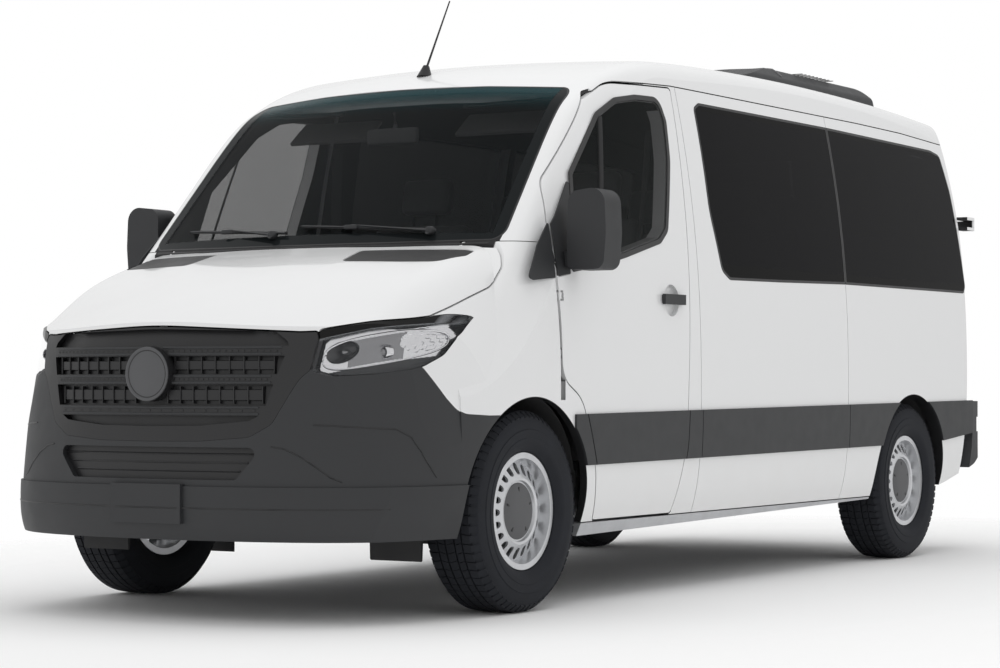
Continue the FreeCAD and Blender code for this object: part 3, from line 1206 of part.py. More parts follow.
def seat_frame(x, y, width):
    """Pedestal, pan and back board with head posts behind the pads."""
    half = width / 2
    pan = box(x - half + 20, x + half - 20, y + 30, y + 440, 880, 904.7)
    pedestal = box(max(x - 170, -PEDESTAL_REACH), min(x + 170, PEDESTAL_REACH), y + 60, y + 400,
                   FLOOR_TOP, 880)
    board = box(x - half + 30, x + half - 30, 105.3, 118, -90, 560)
    posts = [Part.makeCylinder(7, 49.4, Vector(x + shift, 48, 590.3), Vector(0, 0, 1))
             for shift in (-60, 60)]
    lean = FreeCAD.Placement(Vector(0, y + 476, 1003), Rotation(Vector(1, 0, 0), -12))
    board.Placement = lean
    for post in posts:
        post.Placement = lean.multiply(post.Placement)
    link = box(x - 60, x + 60, y + 400, y + 580, 880, 900)
    return [solids_of(joined([pan, pedestal, board, link]))] + posts


FRONT_SEAT_Y = FRONT_AXLE + 790
front_pads = []
front_frames = []
for x in (size("seat_half_gap"), -size("seat_half_gap")):
    front_pads += seat(x, FRONT_SEAT_Y, 500, True)
    front_frames += seat_frame(x, FRONT_SEAT_Y, 500)
bench_pads = []
bench_frames = []
for row_number in range(3):
    y = FRONT_AXLE + 1900 + row_number * 800
    for x, width in ((570, 430), (130, 430), (-590, 430)):
        bench_pads += seat(x, y, width, True)
        bench_frames += seat_frame(x, y, width)
publish("front_seat_pads", Part.Compound(front_pads))
publish("bench_pads", Part.Compound(bench_pads))
publish("seat_frames", Part.Compound(front_frames + bench_frames))
print("cabin made")

doc.recompute()
for item in doc.Objects:
    if "Invalid" in item.State or "Error" in item.State:
        raise RuntimeError("failed object: " + item.Name)
for feature in pieces:
    if feature.Shape.isNull() or not feature.Shape.isValid():
        raise RuntimeError("bad shape: " + feature.Label)
for feature in pieces:
    feature.Shape.exportStep("parts/" + feature.Label + ".step")
    print(feature.Label, len(feature.Shape.Solids), round(feature.Shape.Volume / 1e6, 1))
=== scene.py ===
import json
import math
import bmesh
import bpy
from mathutils import Matrix, Vector, noise
from mathutils.bvhtree import BVHTree


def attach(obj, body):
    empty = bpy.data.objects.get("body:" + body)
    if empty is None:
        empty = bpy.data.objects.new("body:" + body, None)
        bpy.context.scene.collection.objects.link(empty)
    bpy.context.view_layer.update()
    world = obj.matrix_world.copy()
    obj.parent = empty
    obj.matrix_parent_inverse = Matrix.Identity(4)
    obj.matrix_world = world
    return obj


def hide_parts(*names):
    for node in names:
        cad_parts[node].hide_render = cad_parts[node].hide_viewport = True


# Minibus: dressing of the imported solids. X is the vehicle's left, Y its rear, Z up, metres.
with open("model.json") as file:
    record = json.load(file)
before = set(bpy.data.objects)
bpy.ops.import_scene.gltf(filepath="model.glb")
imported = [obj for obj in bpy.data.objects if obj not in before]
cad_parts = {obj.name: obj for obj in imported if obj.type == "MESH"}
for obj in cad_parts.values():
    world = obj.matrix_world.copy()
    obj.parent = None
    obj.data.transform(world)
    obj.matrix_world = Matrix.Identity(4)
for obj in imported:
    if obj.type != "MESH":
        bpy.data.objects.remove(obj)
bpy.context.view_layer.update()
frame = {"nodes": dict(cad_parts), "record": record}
nodes = frame["nodes"]
scene = bpy.context.scene
scene.view_settings.view_transform = "Standard"

view = {"place": (6.08296, -10.28396, 0.866885), "azimuth": 31.5243, "pitch": 1.05141,
        "lens": 95.05}


def addCamera():
    azimuth, pitch = math.radians(view["azimuth"]), math.radians(view["pitch"])
    ahead = Vector((-math.sin(azimuth) * math.cos(pitch), math.cos(azimuth) * math.cos(pitch),
                    math.sin(pitch)))
    right = ahead.cross(Vector((0, 0, 1))).normalized()
    up = right.cross(ahead)
    turn = Matrix((right, up, -ahead)).transposed()
    data = bpy.data.cameras.new("photoCamera")
    data.lens = view["lens"]
    data.sensor_width = 36
    camera = bpy.data.objects.new("photoCamera", data)
    camera.matrix_world = Matrix.Translation(Vector(view["place"])) @ turn.to_4x4()
    scene.collection.objects.link(camera)
    scene.camera = camera


addCamera()


# Shader maths on sockets

class Field:
    def __init__(self, paint, socket):
        self.paint = paint
        self.socket = socket

    def maths(self, operation, *others):
        return self.paint.make("ShaderNodeMath", {"operation": operation}, (self,) + others)

    def __add__(self, other):
        return self.maths("ADD", other)

    def __sub__(self, other):
        return self.maths("SUBTRACT", other)

    def __rsub__(self, other):
        return self.paint.make("ShaderNodeMath", {"operation": "SUBTRACT"}, (other, self))

    def __mul__(self, other):
        return self.maths("MULTIPLY", other)

    def __lt__(self, other):
        return self.maths("LESS_THAN", other)

    def __abs__(self):
        return self.maths("ABSOLUTE")

    __radd__ = __add__
    __rmul__ = __mul__

    def most(self, other):
        return self.maths("MAXIMUM", other)

    def least(self, other):
        return self.maths("MINIMUM", other)


class Paint:
    def __init__(self, owner):
        self.owner = owner
        owner.use_nodes = True
        self.tree = owner.node_tree
        self.tree.nodes.clear()

    def make(self, kind, settings=None, inputs=(), output=0):
        node = self.tree.nodes.new(kind)
        for name, value in (settings or {}).items():
            setattr(node, name, value)
        pairs = inputs.items() if isinstance(inputs, dict) else enumerate(inputs)
        for key, value in pairs:
            if isinstance(value, Field):
                self.tree.links.new(value.socket, node.inputs[key])
            else:
                node.inputs[key].default_value = value
        return Field(self, node.outputs[output]) if node.outputs else node

    def place(self):
        return self.make("ShaderNodeTexCoord", output="Object")

    def split(self, vector=None):
        node = self.make("ShaderNodeSeparateXYZ", None, (vector or self.place(),)).socket.node
        return [Field(self, socket) for socket in node.outputs]

    def noise(self, scale, detail=3, rough=0.5):
        return self.make("ShaderNodeTexNoise", None, {
            "Vector": self.place(), "Scale": scale, "Detail": detail, "Roughness": rough})

    def wave(self, direction, scale, distortion):
        return self.make("ShaderNodeTexWave", {"bands_direction": direction}, {
            "Vector": self.place(), "Scale": scale, "Distortion": distortion})

    def blend(self, share, first, second):
        return self.make("ShaderNodeMix", {"data_type": "RGBA"},
                         {0: share, 6: first, 7: second}, output=2)

    def ramp(self, value, low, high):
        return self.make("ShaderNodeMapRange", None, (value, low, high, 0.0, 1.0))

    def bump(self, height, strength, distance):
        return self.make("ShaderNodeBump", None,
                         {"Strength": strength, "Distance": distance, "Height": height})

    def finish(self, **sockets):
        shader = self.make("ShaderNodeBsdfPrincipled", None,
                           {name.replace("_", " "): value for name, value in sockets.items()})
        self.make("ShaderNodeOutputMaterial", None, (shader,))
        return self.owner


def newPaint(name):
    return Paint(bpy.data.materials.new(name))


def rgb(red, green, blue):
    return (red, green, blue, 1)


# Body paint: white outside; faces that look in are near black, which is painted shade in the engine
# bay and other hollows and partly the cabin's real dark lining; dark arch rims and cowl tray
bodyPaint = {"white": rgb(0.83, 0.835, 0.84), "liningAndShade": rgb(0.085, 0.087, 0.09),
             "lowTone": rgb(0.74, 0.735, 0.72), "lowToneHeights": (0.75, 0.3), "tray": rgb(0.014, 0.014, 0.015),
             "trayTop": 1.432, "trayHalf": 0.836, "arches": ((-1.75, 0.4315), (1.905, 0.4265)),
             "axle": 0.382, "middle": (-1.0, 2.25, 1.25), "inward": -0.28}


def insideMask(paint):
    x, y, z = paint.split()
    world = paint.make("ShaderNodeNewGeometry", output="Normal")
    nx, ny, nz = paint.split(paint.make("ShaderNodeVectorTransform", {
        "vector_type": "NORMAL", "convert_from": "WORLD", "convert_to": "OBJECT"}, (world,)))
    front, back, height = bodyPaint["middle"]
    outward = x * nx + (y - y.most(front).least(back)) * ny + (z - height) * nz
    return outward < bodyPaint["inward"]


def makeBodyPaint(name="whitePaint", cowl=False):
    paint = newPaint(name)
    inside = insideMask(paint)
    x, y, z = paint.split()
    # Darker, warmer and rougher towards the bottom of the body, in noisy patches
    lowTone = paint.ramp(z, *bodyPaint["lowToneHeights"]) * paint.noise(6.0, 5) * 0.5
    colour = paint.blend(lowTone, bodyPaint["white"], bodyPaint["lowTone"])
    # Faces that look in: painted shade in the engine bay and other hollows, partly the cabin's real
    # dark lining; below, they end in the near-black tray colour
    colour = paint.blend(inside, colour, bodyPaint["liningAndShade"])
    dark = inside
    for axle, radius in bodyPaint["arches"]:
        along, up = y - axle, z - bodyPaint["axle"]
        low = (abs(along) < radius) * (up < 0)
        dark = dark.most((along * along + up * up < radius * radius).most(low))
    colour = paint.blend(dark, colour, bodyPaint["tray"])
    if cowl:
        tray = (z < bodyPaint["trayTop"]) * (abs(x) < bodyPaint["trayHalf"])
        inside = inside.most(tray)
        colour = paint.blend(tray, colour, bodyPaint["tray"])
    return paint.finish(Base_Color=colour, Roughness=0.32 + inside * 0.4 + lowTone * 0.3,
                        Coat_Weight=0.85 - inside * 0.85, Coat_Roughness=0.04,
                        Normal=paint.bump(paint.noise(420.0, 2), 0.02, 0.0004))


def makePlastic(name, colour, rough, grain=0.25, scale=900.0):
    paint = newPaint(name)
    pebble = paint.make("ShaderNodeTexVoronoi", None, {"Vector": paint.place(), "Scale": scale})
    cloud = paint.noise(14.0, 4)
    lighter = tuple(min(1, part * 1.36) for part in colour[:3]) + (1,)
    return paint.finish(Base_Color=paint.blend(cloud * 0.6, colour, lighter),
                        Roughness=rough + (cloud - 0.5) * 0.16,
                        Normal=paint.bump(pebble, grain, 0.0003))


def makeMetal(name, colour, rough, metallic=1.0, scale=60.0, spots=0.05):
    paint = newPaint(name)
    cloud = paint.noise(scale, 5, 0.6)
    darker = tuple(part * 0.72 for part in colour[:3]) + (1,)
    return paint.finish(Base_Color=paint.blend(cloud, colour, darker), Metallic=metallic,
                        Roughness=rough + (cloud - 0.5) * spots * 4,
                        Normal=paint.bump(cloud, 0.06, 0.0006))


# Glass: black printed borders, a teal sun band at the top of the windscreen
screen = {"half": 0.845, "foot": 1.403, "taper": 0.1026, "side": (-0.052, -0.045),
          "low": (1.452, 1.442), "lowBow": 0.01, "top": (2.035, 2.055), "topBow": 0.035,
          "band": (1.975, 2.06), "grey": rgb(0.012, 0.014, 0.015), "teal": rgb(0.0, 0.035, 0.042),
          "clear": 0.36}
pane = {"line": 1.345, "lineEdge": (0.03, 0.026), "top": (2.03, 2.036),
        "dark": rgb(0.006, 0.006, 0.007), "print": rgb(0.004, 0.004, 0.004), "veil": 0.90}
lens = {"top": 1.052, "inner": 0.628, "rise": 0.237, "kink": 0.77, "bend": 0.06,
        "strip": (-0.030, -0.024), "end": (0.908, 0.888)}


def makeWindscreenGlass():
    paint = newPaint("windscreenGlass")
    x, y, z = paint.split()
    edge = screen["half"] - (z - screen["foot"]) * screen["taper"]
    side = paint.ramp(abs(x) - edge, *screen["side"])
    low = paint.ramp(z + x * x * screen["lowBow"], *screen["low"])
    bowed = z + x * x * screen["topBow"]
    top = paint.ramp(bowed, *screen["top"])
    band = paint.ramp(bowed, *screen["band"])
    black = side.most(low).most(top * 0.6)
    return paint.finish(Base_Color=paint.blend(band * (1 - side), screen["grey"], screen["teal"]),
                        Roughness=0.02, IOR=1.18, Specular_IOR_Level=0.35,
                        Alpha=black.most(band * 0.8).most(screen["clear"]))


def makeDoorGlass():
    paint = newPaint("doorGlass")
    return paint.finish(Base_Color=rgb(0.012, 0.014, 0.014), Roughness=0.02, IOR=1.18,
                        Specular_IOR_Level=0.3, Alpha=0.41 + paint.noise(2.0, 2) * 0.02)


def makePrivacyGlass():
    paint = newPaint("privacyGlass")
    x, y, z = paint.split()
    rows = paint.ramp(abs(z - pane["line"]), *pane["lineEdge"]).most(paint.ramp(z, *pane["top"]))
    return paint.finish(Base_Color=paint.blend(rows, pane["dark"], pane["print"]),
                        Roughness=0.015 + rows * 0.03, IOR=1.16, Specular_IOR_Level=0.22,
                        Alpha=pane["veil"] + rows * 0.1)


def makeLampLens():
    paint = newPaint("lampLens")
    x, y, z = paint.split()
    top = lens["top"] + (abs(x) - lens["inner"]) * lens["rise"]
    # The black band along the top of the lens is painted shadow: the shadow gap between the hood
    # and the lamp
    strip = paint.ramp(z - top + abs(abs(x) - lens["kink"]) * lens["bend"], *lens["strip"])
    black = strip * paint.ramp(abs(x), *lens["end"])
    colour = paint.blend(black, rgb(0.6, 0.62, 0.65), rgb(0.004, 0.004, 0.004))
    return paint.finish(Base_Color=colour, Roughness=0.02 + black * 0.2,
                        Alpha=0.03 + black * 0.97, IOR=1.3)


def makeRedLens():
    paint = newPaint("redLens")
    x, y, z = paint.split()
    foot = paint.ramp(z, 0.93, 0.90)
    return paint.finish(Base_Color=paint.blend(foot, rgb(0.16, 0.004, 0.008),
                                               rgb(0.05, 0.05, 0.052)),
                        Roughness=0.08, Coat_Weight=0.8,
                        Normal=paint.bump(paint.wave("Z", 34.0, 0.0), 0.12, 0.001))


def makeTyreRubber():
    paint = newPaint("tyreRubber")
    cloud = paint.noise(16.0, 5)
    colour = paint.blend(cloud, rgb(0.012, 0.013, 0.016), rgb(0.022, 0.024, 0.03))
    return paint.finish(Base_Color=colour, Roughness=0.72 + cloud * 0.12, Specular_IOR_Level=0.25,
                        Normal=paint.bump(paint.noise(900.0, 2), 0.08, 0.0004))


def makeFabric(name, colour, second):
    paint = newPaint(name)
    weave = paint.wave("X", 260.0, 0.6) * 0.5 + paint.wave("DIAGONAL", 300.0, 0.6) * 0.5
    cloud = paint.noise(9.0, 4)
    return paint.finish(Base_Color=paint.blend(weave * 0.5 + cloud * 0.5, colour, second),
                        Roughness=0.9, Sheen_Weight=0.3, Sheen_Roughness=0.5,
                        Normal=paint.bump(weave, 0.25, 0.0008))


look = {
    "white_paint": makeBodyPaint(),
    "dark_plastic": makePlastic("darkPlastic", rgb(0.022, 0.023, 0.025), 0.55, 0.3),
    "black_plastic": makePlastic("blackPlastic", rgb(0.012, 0.012, 0.013), 0.42, 0.15),
    "privacy_glass": makePrivacyGlass(),
    "clear_glass": makeDoorGlass(),
    "lamp_lens": makeLampLens(),
    "red_lens": makeRedLens(),
    "flap_rubber": makePlastic("flapRubber", rgb(0.018, 0.018, 0.019), 0.6, 0.2, 500.0),
    "floor_paint": makePlastic("floorPaint", rgb(0.03, 0.03, 0.031), 0.75, 0.3, 60.0),
    "silver_paint": makeMetal("silverPaint", rgb(0.62, 0.63, 0.65), 0.34, 0.55, 9.0),
    "black_steel": makeMetal("blackSteel", rgb(0.022, 0.022, 0.023), 0.55, 0.3, 30.0),
    "cast_metal": makeMetal("castMetal", rgb(0.13, 0.13, 0.135), 0.6, 0.8, 120.0),
    "pipe_steel": makeMetal("pipeSteel", rgb(0.3, 0.29, 0.28), 0.45, 0.9, 20.0),
    "tyre_rubber": makeTyreRubber(),
    "dash_plastic": makePlastic("dashPlastic", rgb(0.09, 0.091, 0.094), 0.6, 0.35, 700.0),
    "seat_fabric": makeFabric("seatFabric", rgb(0.16, 0.16, 0.165), rgb(0.26, 0.26, 0.265)),
    "wheel_steel": makeMetal("wheelSilver", rgb(0.74, 0.75, 0.77), 0.3, 0.75, 12.0, 0.03),
}
chrome = makeMetal("lampChrome", rgb(0.82, 0.82, 0.84), 0.16, 1.0, 5.0, 0.01)
greyChrome = makeMetal("lampGrey", rgb(0.3, 0.3, 0.31), 0.22, 0.9, 5.0, 0.02)
capPlastic = makePlastic("capPlastic", rgb(0.075, 0.076, 0.08), 0.5, 0.2)
lampDark = makeMetal("lampDark", rgb(0.05, 0.05, 0.052), 0.25, 0.6, 8.0, 0.02)
ribGrey = makePlastic("ribGrey", rgb(0.13, 0.13, 0.135), 0.45, 0.15)
visorCloth = makeFabric("visorCloth", rgb(0.10, 0.10, 0.10), rgb(0.14, 0.14, 0.14))
beltWeb = makeFabric("beltWeb", rgb(0.04, 0.04, 0.042), rgb(0.07, 0.07, 0.072))
print("materials made")

special = {"windscreen": makeWindscreenGlass(), "wipers": look["dark_plastic"],
           "windscreen_frame": makeBodyPaint("framePaint", True)}
slotOf = {part["node"]: part["material_slot"] for part in frame["record"]["subparts"]}
for name, item in nodes.items():
    item.data.materials.clear()
    item.data.materials.append(special.get(name) or look[slotOf[name]])
sides = (("left", 1), ("right", -1))
toRear, toFront, toGround = (0, 1, 0), (0, -1, 0), (0, 0, -1)


# Mesh helpers

def fromBmesh(shape, name):
    bmesh.ops.remove_doubles(shape, verts=shape.verts, dist=0.00002)
    bmesh.ops.recalc_face_normals(shape, faces=shape.faces)
    mesh = bpy.data.meshes.new(name)
    shape.to_mesh(mesh)
    shape.free()
    return mesh


# Makes a finished piece from a mesh or a bmesh and lets it ride on its body
def keep(name, shape, slot, smooth=35, body="body", finish=None):
    mesh = shape if isinstance(shape, bpy.types.Mesh) else fromBmesh(shape, name)
    piece = bpy.data.objects.new(name, mesh)
    scene.collection.objects.link(piece)
    mesh.materials.clear()
    mesh.materials.append(finish or look[slot])
    mesh.shade_smooth()
    mesh.set_sharp_from_angle(angle=math.radians(smooth))
    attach(piece, body)
    return piece


# A block with rounded edges between two corners, measured from a spot
def addBox(shape, low, high, bevel, segments=2, at=(0, 0, 0), turn=None):
    low, high = Vector(low), Vector(high)
    made = bmesh.ops.create_cube(shape, size=1)["verts"]
    bmesh.ops.scale(shape, vec=high - low, verts=made)
    edges = list({edge for vert in made for edge in vert.link_edges})
    made = bmesh.ops.bevel(shape, geom=edges, offset=bevel, segments=segments, profile=0.5,
                           affect="EDGES")["verts"]
    middle = Matrix.Translation((low + high) / 2 + Vector(at))
    bmesh.ops.transform(shape, matrix=middle @ (turn or Matrix()), verts=made)


def axisPoint(centre, axis, along, first, second):
    offset = {"x": (along, first, second), "y": (first, along, second)}[axis]
    return Vector(centre) + Vector(offset)


# A profile of (along, radius) points turned about an axis
def addTurned(shape, profile, centre, axis="x", count=48):
    rings = []
    for along, radius in profile:
        angles = [2 * math.pi * k / count for k in range(count if radius > 1e-6 else 1)]
        rings.append([shape.verts.new(axisPoint(centre, axis, along, radius * math.cos(angle),
                                                radius * math.sin(angle))) for angle in angles])
    for first, second in zip(rings, rings[1:]):
        for k in range(count):
            corners = (first[k % len(first)], first[(k + 1) % len(first)],
                       second[(k + 1) % len(second)], second[k % len(second)])
            face = [vert for i, vert in enumerate(corners) if vert not in corners[:i]]
            if len(face) > 2:
                shape.faces.new(face)


def joinRings(shape, rings, capped=True):
    for first, second in zip(rings, rings[1:]):
        for k in range(len(first)):
            after = (k + 1) % len(first)
            shape.faces.new((first[k], first[after], second[after], second[k]))
    if capped:
        shape.faces.new(rings[0][::-1])
        shape.faces.new(rings[-1])


# A round or flattened bar along points
def addTube(shape, points, radius, count=10, flat=1.0, capped=True):
    points = [Vector(point) for point in points]
    rings = []
    for i, point in enumerate(points):
        ahead = (points[min(i + 1, len(points) - 1)] - points[max(i - 1, 0)]).normalized()
        across = ahead.cross(Vector((0, 0, 1)))
        across = across.normalized() if across.length > 0.01 else Vector((1, 0, 0))
        over = across.cross(ahead)
        size = radius[i] if isinstance(radius, (list, tuple)) else radius
        rings.append([shape.verts.new(point + across * math.cos(t) * size
                                      + over * math.sin(t) * size * flat)
                      for t in [2 * math.pi * k / count for k in range(count)]])
    joinRings(shape, rings, capped)


def mirrorMesh(mesh, name):
    other = mesh.copy()
    other.name = name
    other.transform(Matrix.Diagonal((-1, 1, 1, 1)))
    other.flip_normals()
    return other


# The piece's mesh with its modifiers applied; the piece itself goes
def evaluated(piece):
    bpy.context.view_layer.update()
    graph = bpy.context.evaluated_depsgraph_get()
    mesh = bpy.data.meshes.new_from_object(piece.evaluated_get(graph))
    bpy.data.objects.remove(piece)
    return mesh


def subdivided(mesh, levels):
    piece = bpy.data.objects.new("work", mesh)
    scene.collection.objects.link(piece)
    rounding = piece.modifiers.new("round", "SUBSURF")
    rounding.levels = levels
    rounding.render_levels = levels
    return evaluated(piece)


def merged(meshes, name):
    shape = bmesh.new()
    for mesh in meshes:
        shape.from_mesh(mesh)
    mesh = bpy.data.meshes.new(name)
    shape.to_mesh(mesh)
    shape.free()
    return mesh


# Rays onto some of the solids
def surfaceOf(*names):
    verts, faces = [], []
    for name in names:
        mesh = nodes[name].data
        base = len(verts)
        verts += [vert.co.copy() for vert in mesh.vertices]
        faces += [[base + k for k in polygon.vertices] for polygon in mesh.polygons]
    return BVHTree.FromPolygons(verts, faces)


def hit(tree, start, direction):
    return tree.ray_cast(Vector(start), Vector(direction).normalized())[0]


def spaced(low, high, count):
    return [low + (high - low) * k / (count - 1) for k in range(count)]


def onFace(tree, points, ahead, back=0.0):
    direction = Vector(ahead).normalized()
    found = []
    for point in points:
        spot = hit(tree, Vector(point) - direction * 3, direction)
        if spot:
            found.append(spot - direction * back)
    return found


# Geometry Nodes: blocks set along a line, and copies of a mesh set round the X axis

def newTree(name, inputs):
    tree = bpy.data.node_groups.new(name, "GeometryNodeTree")
    sockets = {}
    for label, kind in inputs.items():
        sockets[label] = tree.interface.new_socket(label, in_out="INPUT",
                                                   socket_type="NodeSocket" + kind).identifier
    tree.interface.new_socket("Pieces", in_out="OUTPUT", socket_type="NodeSocketGeometry")
    return tree, sockets, tree.nodes.new("NodeGroupInput").outputs


def put(tree, kind, links, operation=None):
    node = tree.nodes.new(kind)
    if operation:
        node.operation = operation
    for key, value in links.items():
        if isinstance(value, bpy.types.NodeSocket):
            tree.links.new(value, node.inputs[key])
        else:
            node.inputs[key].default_value = value
    return node.outputs[0]


def closeTree(tree, copies, material):
    real = put(tree, "GeometryNodeRealizeInstances", {0: copies})
    dressed = put(tree, "GeometryNodeSetMaterial", {"Geometry": real, "Material": material})
    tree.links.new(dressed, tree.nodes.new("NodeGroupOutput").inputs[0])


def makeLineTree():
    tree, sockets, given = newTree("piecesAlongLine", {
        "Line": "Geometry", "Count": "Int", "Size": "Vector", "Material": "Material"})
    line = put(tree, "GeometryNodeMeshToCurve", {0: given["Line"]})
    points = put(tree, "GeometryNodeCurveToPoints", {"Curve": line, "Count": given["Count"]})
    block = put(tree, "GeometryNodeMeshCube", {"Size": given["Size"]})
    copies = put(tree, "GeometryNodeInstanceOnPoints", {"Points": points, "Instance": block})
    closeTree(tree, copies, given["Material"])
    return tree, sockets


def makeRoundTree():
    tree, sockets, given = newTree("piecesRoundAxle", {
        "Block": "Geometry", "Count": "Int", "Material": "Material"})
    dots = put(tree, "GeometryNodePoints", {"Count": given["Count"]})
    index = put(tree, "GeometryNodeInputIndex", {})
    share = put(tree, "ShaderNodeMath", {0: index, 1: given["Count"]}, "DIVIDE")
    angle = put(tree, "ShaderNodeMath", {0: share, 1: 2 * math.pi}, "MULTIPLY")
    turn = put(tree, "ShaderNodeCombineXYZ", {"X": angle})
    copies = put(tree, "GeometryNodeInstanceOnPoints", {
        "Points": dots, "Instance": given["Block"], "Rotation": turn})
    closeTree(tree, copies, given["Material"])
    return tree, sockets


lineTree = makeLineTree()
roundTree = makeRoundTree()


def grown(mesh, treeAndSockets, values):
    tree, sockets = treeAndSockets
    piece = bpy.data.objects.new("work", mesh)
    scene.collection.objects.link(piece)
    copies = piece.modifiers.new("copies", "NODES")
    copies.node_group = tree
    for label, value in values.items():
        copies[sockets[label]] = value
    return evaluated(piece)


def alongLine(points, count, size):
    mesh = bpy.data.meshes.new("line")
    mesh.from_pydata([tuple(point) for point in points],
                     [(i, i + 1) for i in range(len(points) - 1)], [])
    return grown(mesh, lineTree, {"Count": count, "Size": size, "Material": look["black_plastic"]})


def roundAxle(mesh, count, material):
    return grown(mesh, roundTree, {"Count": count, "Material": material})


# Wheels: tyre with cut tread, hub cap and marks on the cap
wheel = {"axle": 0.382, "front": -1.75, "rear": 1.915, "half": 0.856, "tread": 0.382,
         "halfWidth": 0.123, "bead": 0.2035, "pitches": 66, "blockDepth": 0.0085,
         "shoulder": 0.0885, "lugEnd": 0.1135, "lugShare": 0.34}
# across from, across to, gap to the next pitch, slant
treadRows = ((-0.017, 0.017, 0.0022, 0.25), (-0.050, -0.0235, 0.003, -0.3),
             (0.0235, 0.050, 0.003, 0.3), (-0.0885, -0.057, 0.0045, 0.12),
             (0.057, 0.0885, 0.0045, -0.12))


def tyreProfile():
    half, bead = wheel["halfWidth"], wheel["bead"]
    tread = wheel["tread"] - wheel["blockDepth"]
    seat = 0.0865
    line = [(seat, bead + 0.001), (seat, bead + 0.019), (0.100, bead + 0.0235),
            (half - 0.006, bead + 0.045), (half - 0.0015, bead + 0.062),
            (half - 0.001, bead + 0.072), (half - 0.0028, bead + 0.0735),
            (half - 0.001, bead + 0.088), (half - 0.0005, bead + 0.104),
            (half - 0.0035, bead + 0.106), (half - 0.004, bead + 0.120),
            (half - 0.009, bead + 0.140), (half - 0.016, tread - 0.014),
            (half - 0.030, tread - 0.003), (0.060, tread), (0.0, tread + 0.0005)]
    return line + [(-along, radius) for along, radius in reversed(line[:-1])] + [line[0]]


def addTreadBlock(shape, low, high, gap, slant, length):
    top, depth = wheel["tread"], wheel["blockDepth"]
    reach = length / 2 - gap / 2
    outer = abs(low + high) > 0.12
    points = []
    for x in (low, high):
        edge = outer and abs(x) > 0.07
        drop = (0.0035 if outer else 0.0012) * 0.2 + (0.0025 if edge else 0)
        shift = slant * (x - (low + high) / 2)
        points.append([(x, y + shift, top - 0.0003 - drop) for y in (-reach, reach)])
    points = [points[0][0], points[0][1], points[1][1], points[1][0]]
    floor = top - depth - 0.002
    upper = [shape.verts.new(point) for point in points]
    lower = [shape.verts.new((x, y, floor - (0.006 if abs(x) > 0.07 else 0)))
             for x, y, z in points]
    joinRings(shape, [upper, lower])


def addSideLug(shape, side, length):
    top, width = wheel["tread"], length * wheel["lugShare"]
    x0, x1 = wheel["shoulder"] * side, wheel["lugEnd"] * side
    x2 = x1 - 0.006 * side
    verts = [shape.verts.new(vert) for vert in (
        (x0, -width, top - 0.0035), (x0, width, top - 0.0035), (x1, width, top - 0.0265),
        (x1, -width, top - 0.0265), (x0, -width, top - 0.016), (x0, width, top - 0.016),
        (x2, width, top - 0.036), (x2, -width, top - 0.036))]
    for face in ((0, 1, 2, 3), (7, 6, 5, 4), (0, 4, 5, 1), (1, 5, 6, 2), (2, 6, 7, 3),
                 (3, 7, 4, 0)):
        shape.faces.new([verts[k] for k in face])


# One pitch of the tread, at the top of the tyre
def treadPitch():
    shape = bmesh.new()
    length = 2 * math.pi * wheel["tread"] / wheel["pitches"]
    for low, high, gap, slant in treadRows:
        addTreadBlock(shape, low, high, gap, slant, length)
    for side in (1, -1):
        addSideLug(shape, side, length)
    return fromBmesh(shape, "pitch")


def makeTyre():
    shape = bmesh.new()
    addTurned(shape, tyreProfile(), (0, 0, 0), "x", 96)
    tread = roundAxle(treadPitch(), wheel["pitches"], look["tyre_rubber"])
    return merged([fromBmesh(shape, "carcass"), tread], "tyre")


cap = {"radius": 0.109, "out": 0.068, "marks": 5, "markRing": 0.74, "markHalf": 0.0042}


def makeCap():
    shape = bmesh.new()
    edge, radius = cap["out"], cap["radius"]
    addTurned(shape, [(edge - 0.014, radius), (edge, radius), (edge + 0.004, radius - 0.003),
                      (edge + 0.007, radius * 0.86), (edge + 0.012, radius * 0.6),
                      (edge + 0.014, radius * 0.35), (edge + 0.0145, 0.0)], (0, 0, 0), "x", 64)
    return fromBmesh(shape, "cap")


def capMarks():
    shape = bmesh.new()
    edge, radius, half = cap["out"], cap["radius"] * cap["markRing"], cap["markHalf"]
    addBox(shape, (edge + 0.0075, -half, radius - 0.014), (edge + 0.0105, half, radius + 0.010),
           0.001)
    addTurned(shape, [(edge + 0.004, 0.008), (edge + 0.0102, 0.008), (edge + 0.0102, 0.0)],
              (0, 0, radius - 0.014), "x", 16)
    return roundAxle(fromBmesh(shape, "mark"), cap["marks"], look["black_plastic"])


wheelMeshes = (("tyreBody", makeTyre(), "tyre_rubber", None),
               ("hubCap", makeCap(), "black_plastic", capPlastic),
               ("capMarks", capMarks(), "black_plastic", None))
for axle in ("front", "rear"):
    for side, sign in sides:
        spot = Matrix.Translation((sign * wheel["half"], wheel[axle], wheel["axle"]))
        for name, mesh, slot, finish in wheelMeshes:
            copy = mesh.copy()
            copy.transform(spot @ Matrix.Diagonal((sign, sign, 1, 1)))
            piece = keep("%s_%s_%s" % (name, axle, side), copy, slot, 32,
                         "wheel_%s_%s" % (axle, side), finish)
            if name == "tyreBody":
                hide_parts("tyre_%s_%s" % (axle, side))
print("wheels made")


# Seats: pressed pads with sewn channels and piping
pads = {"cushion": ("z", (0, 0.235, 0.96), (None, 0.47, 0.11), 0.040),
        "back": ("y", (0, 0.0525, 0.295), (None, 0.105, 0.59), 0.038),
        "rest": ("y", (0, 0.048, 0.725), (0.26, 0.08, 0.17), 0.034),
        "hinge": (0.476, 1.003), "lean": -12, "fill": 0.75,
        "channels": (-0.3, 0.05, 0.4), "seamAt": 0.62, "seamHalf": 0.006, "seamDeep": 0.007,
        "crown": 0.0035, "grid": 0.028, "piping": 0.0028}
frontSeats = {"places": (("driver", 0.43), ("passenger", -0.43)), "y": -0.96, "width": 0.5}
benches = {"places": (0.57, 0.13, -0.59), "y": 0.15, "pitch": 0.8, "rows": 3, "width": 0.43}


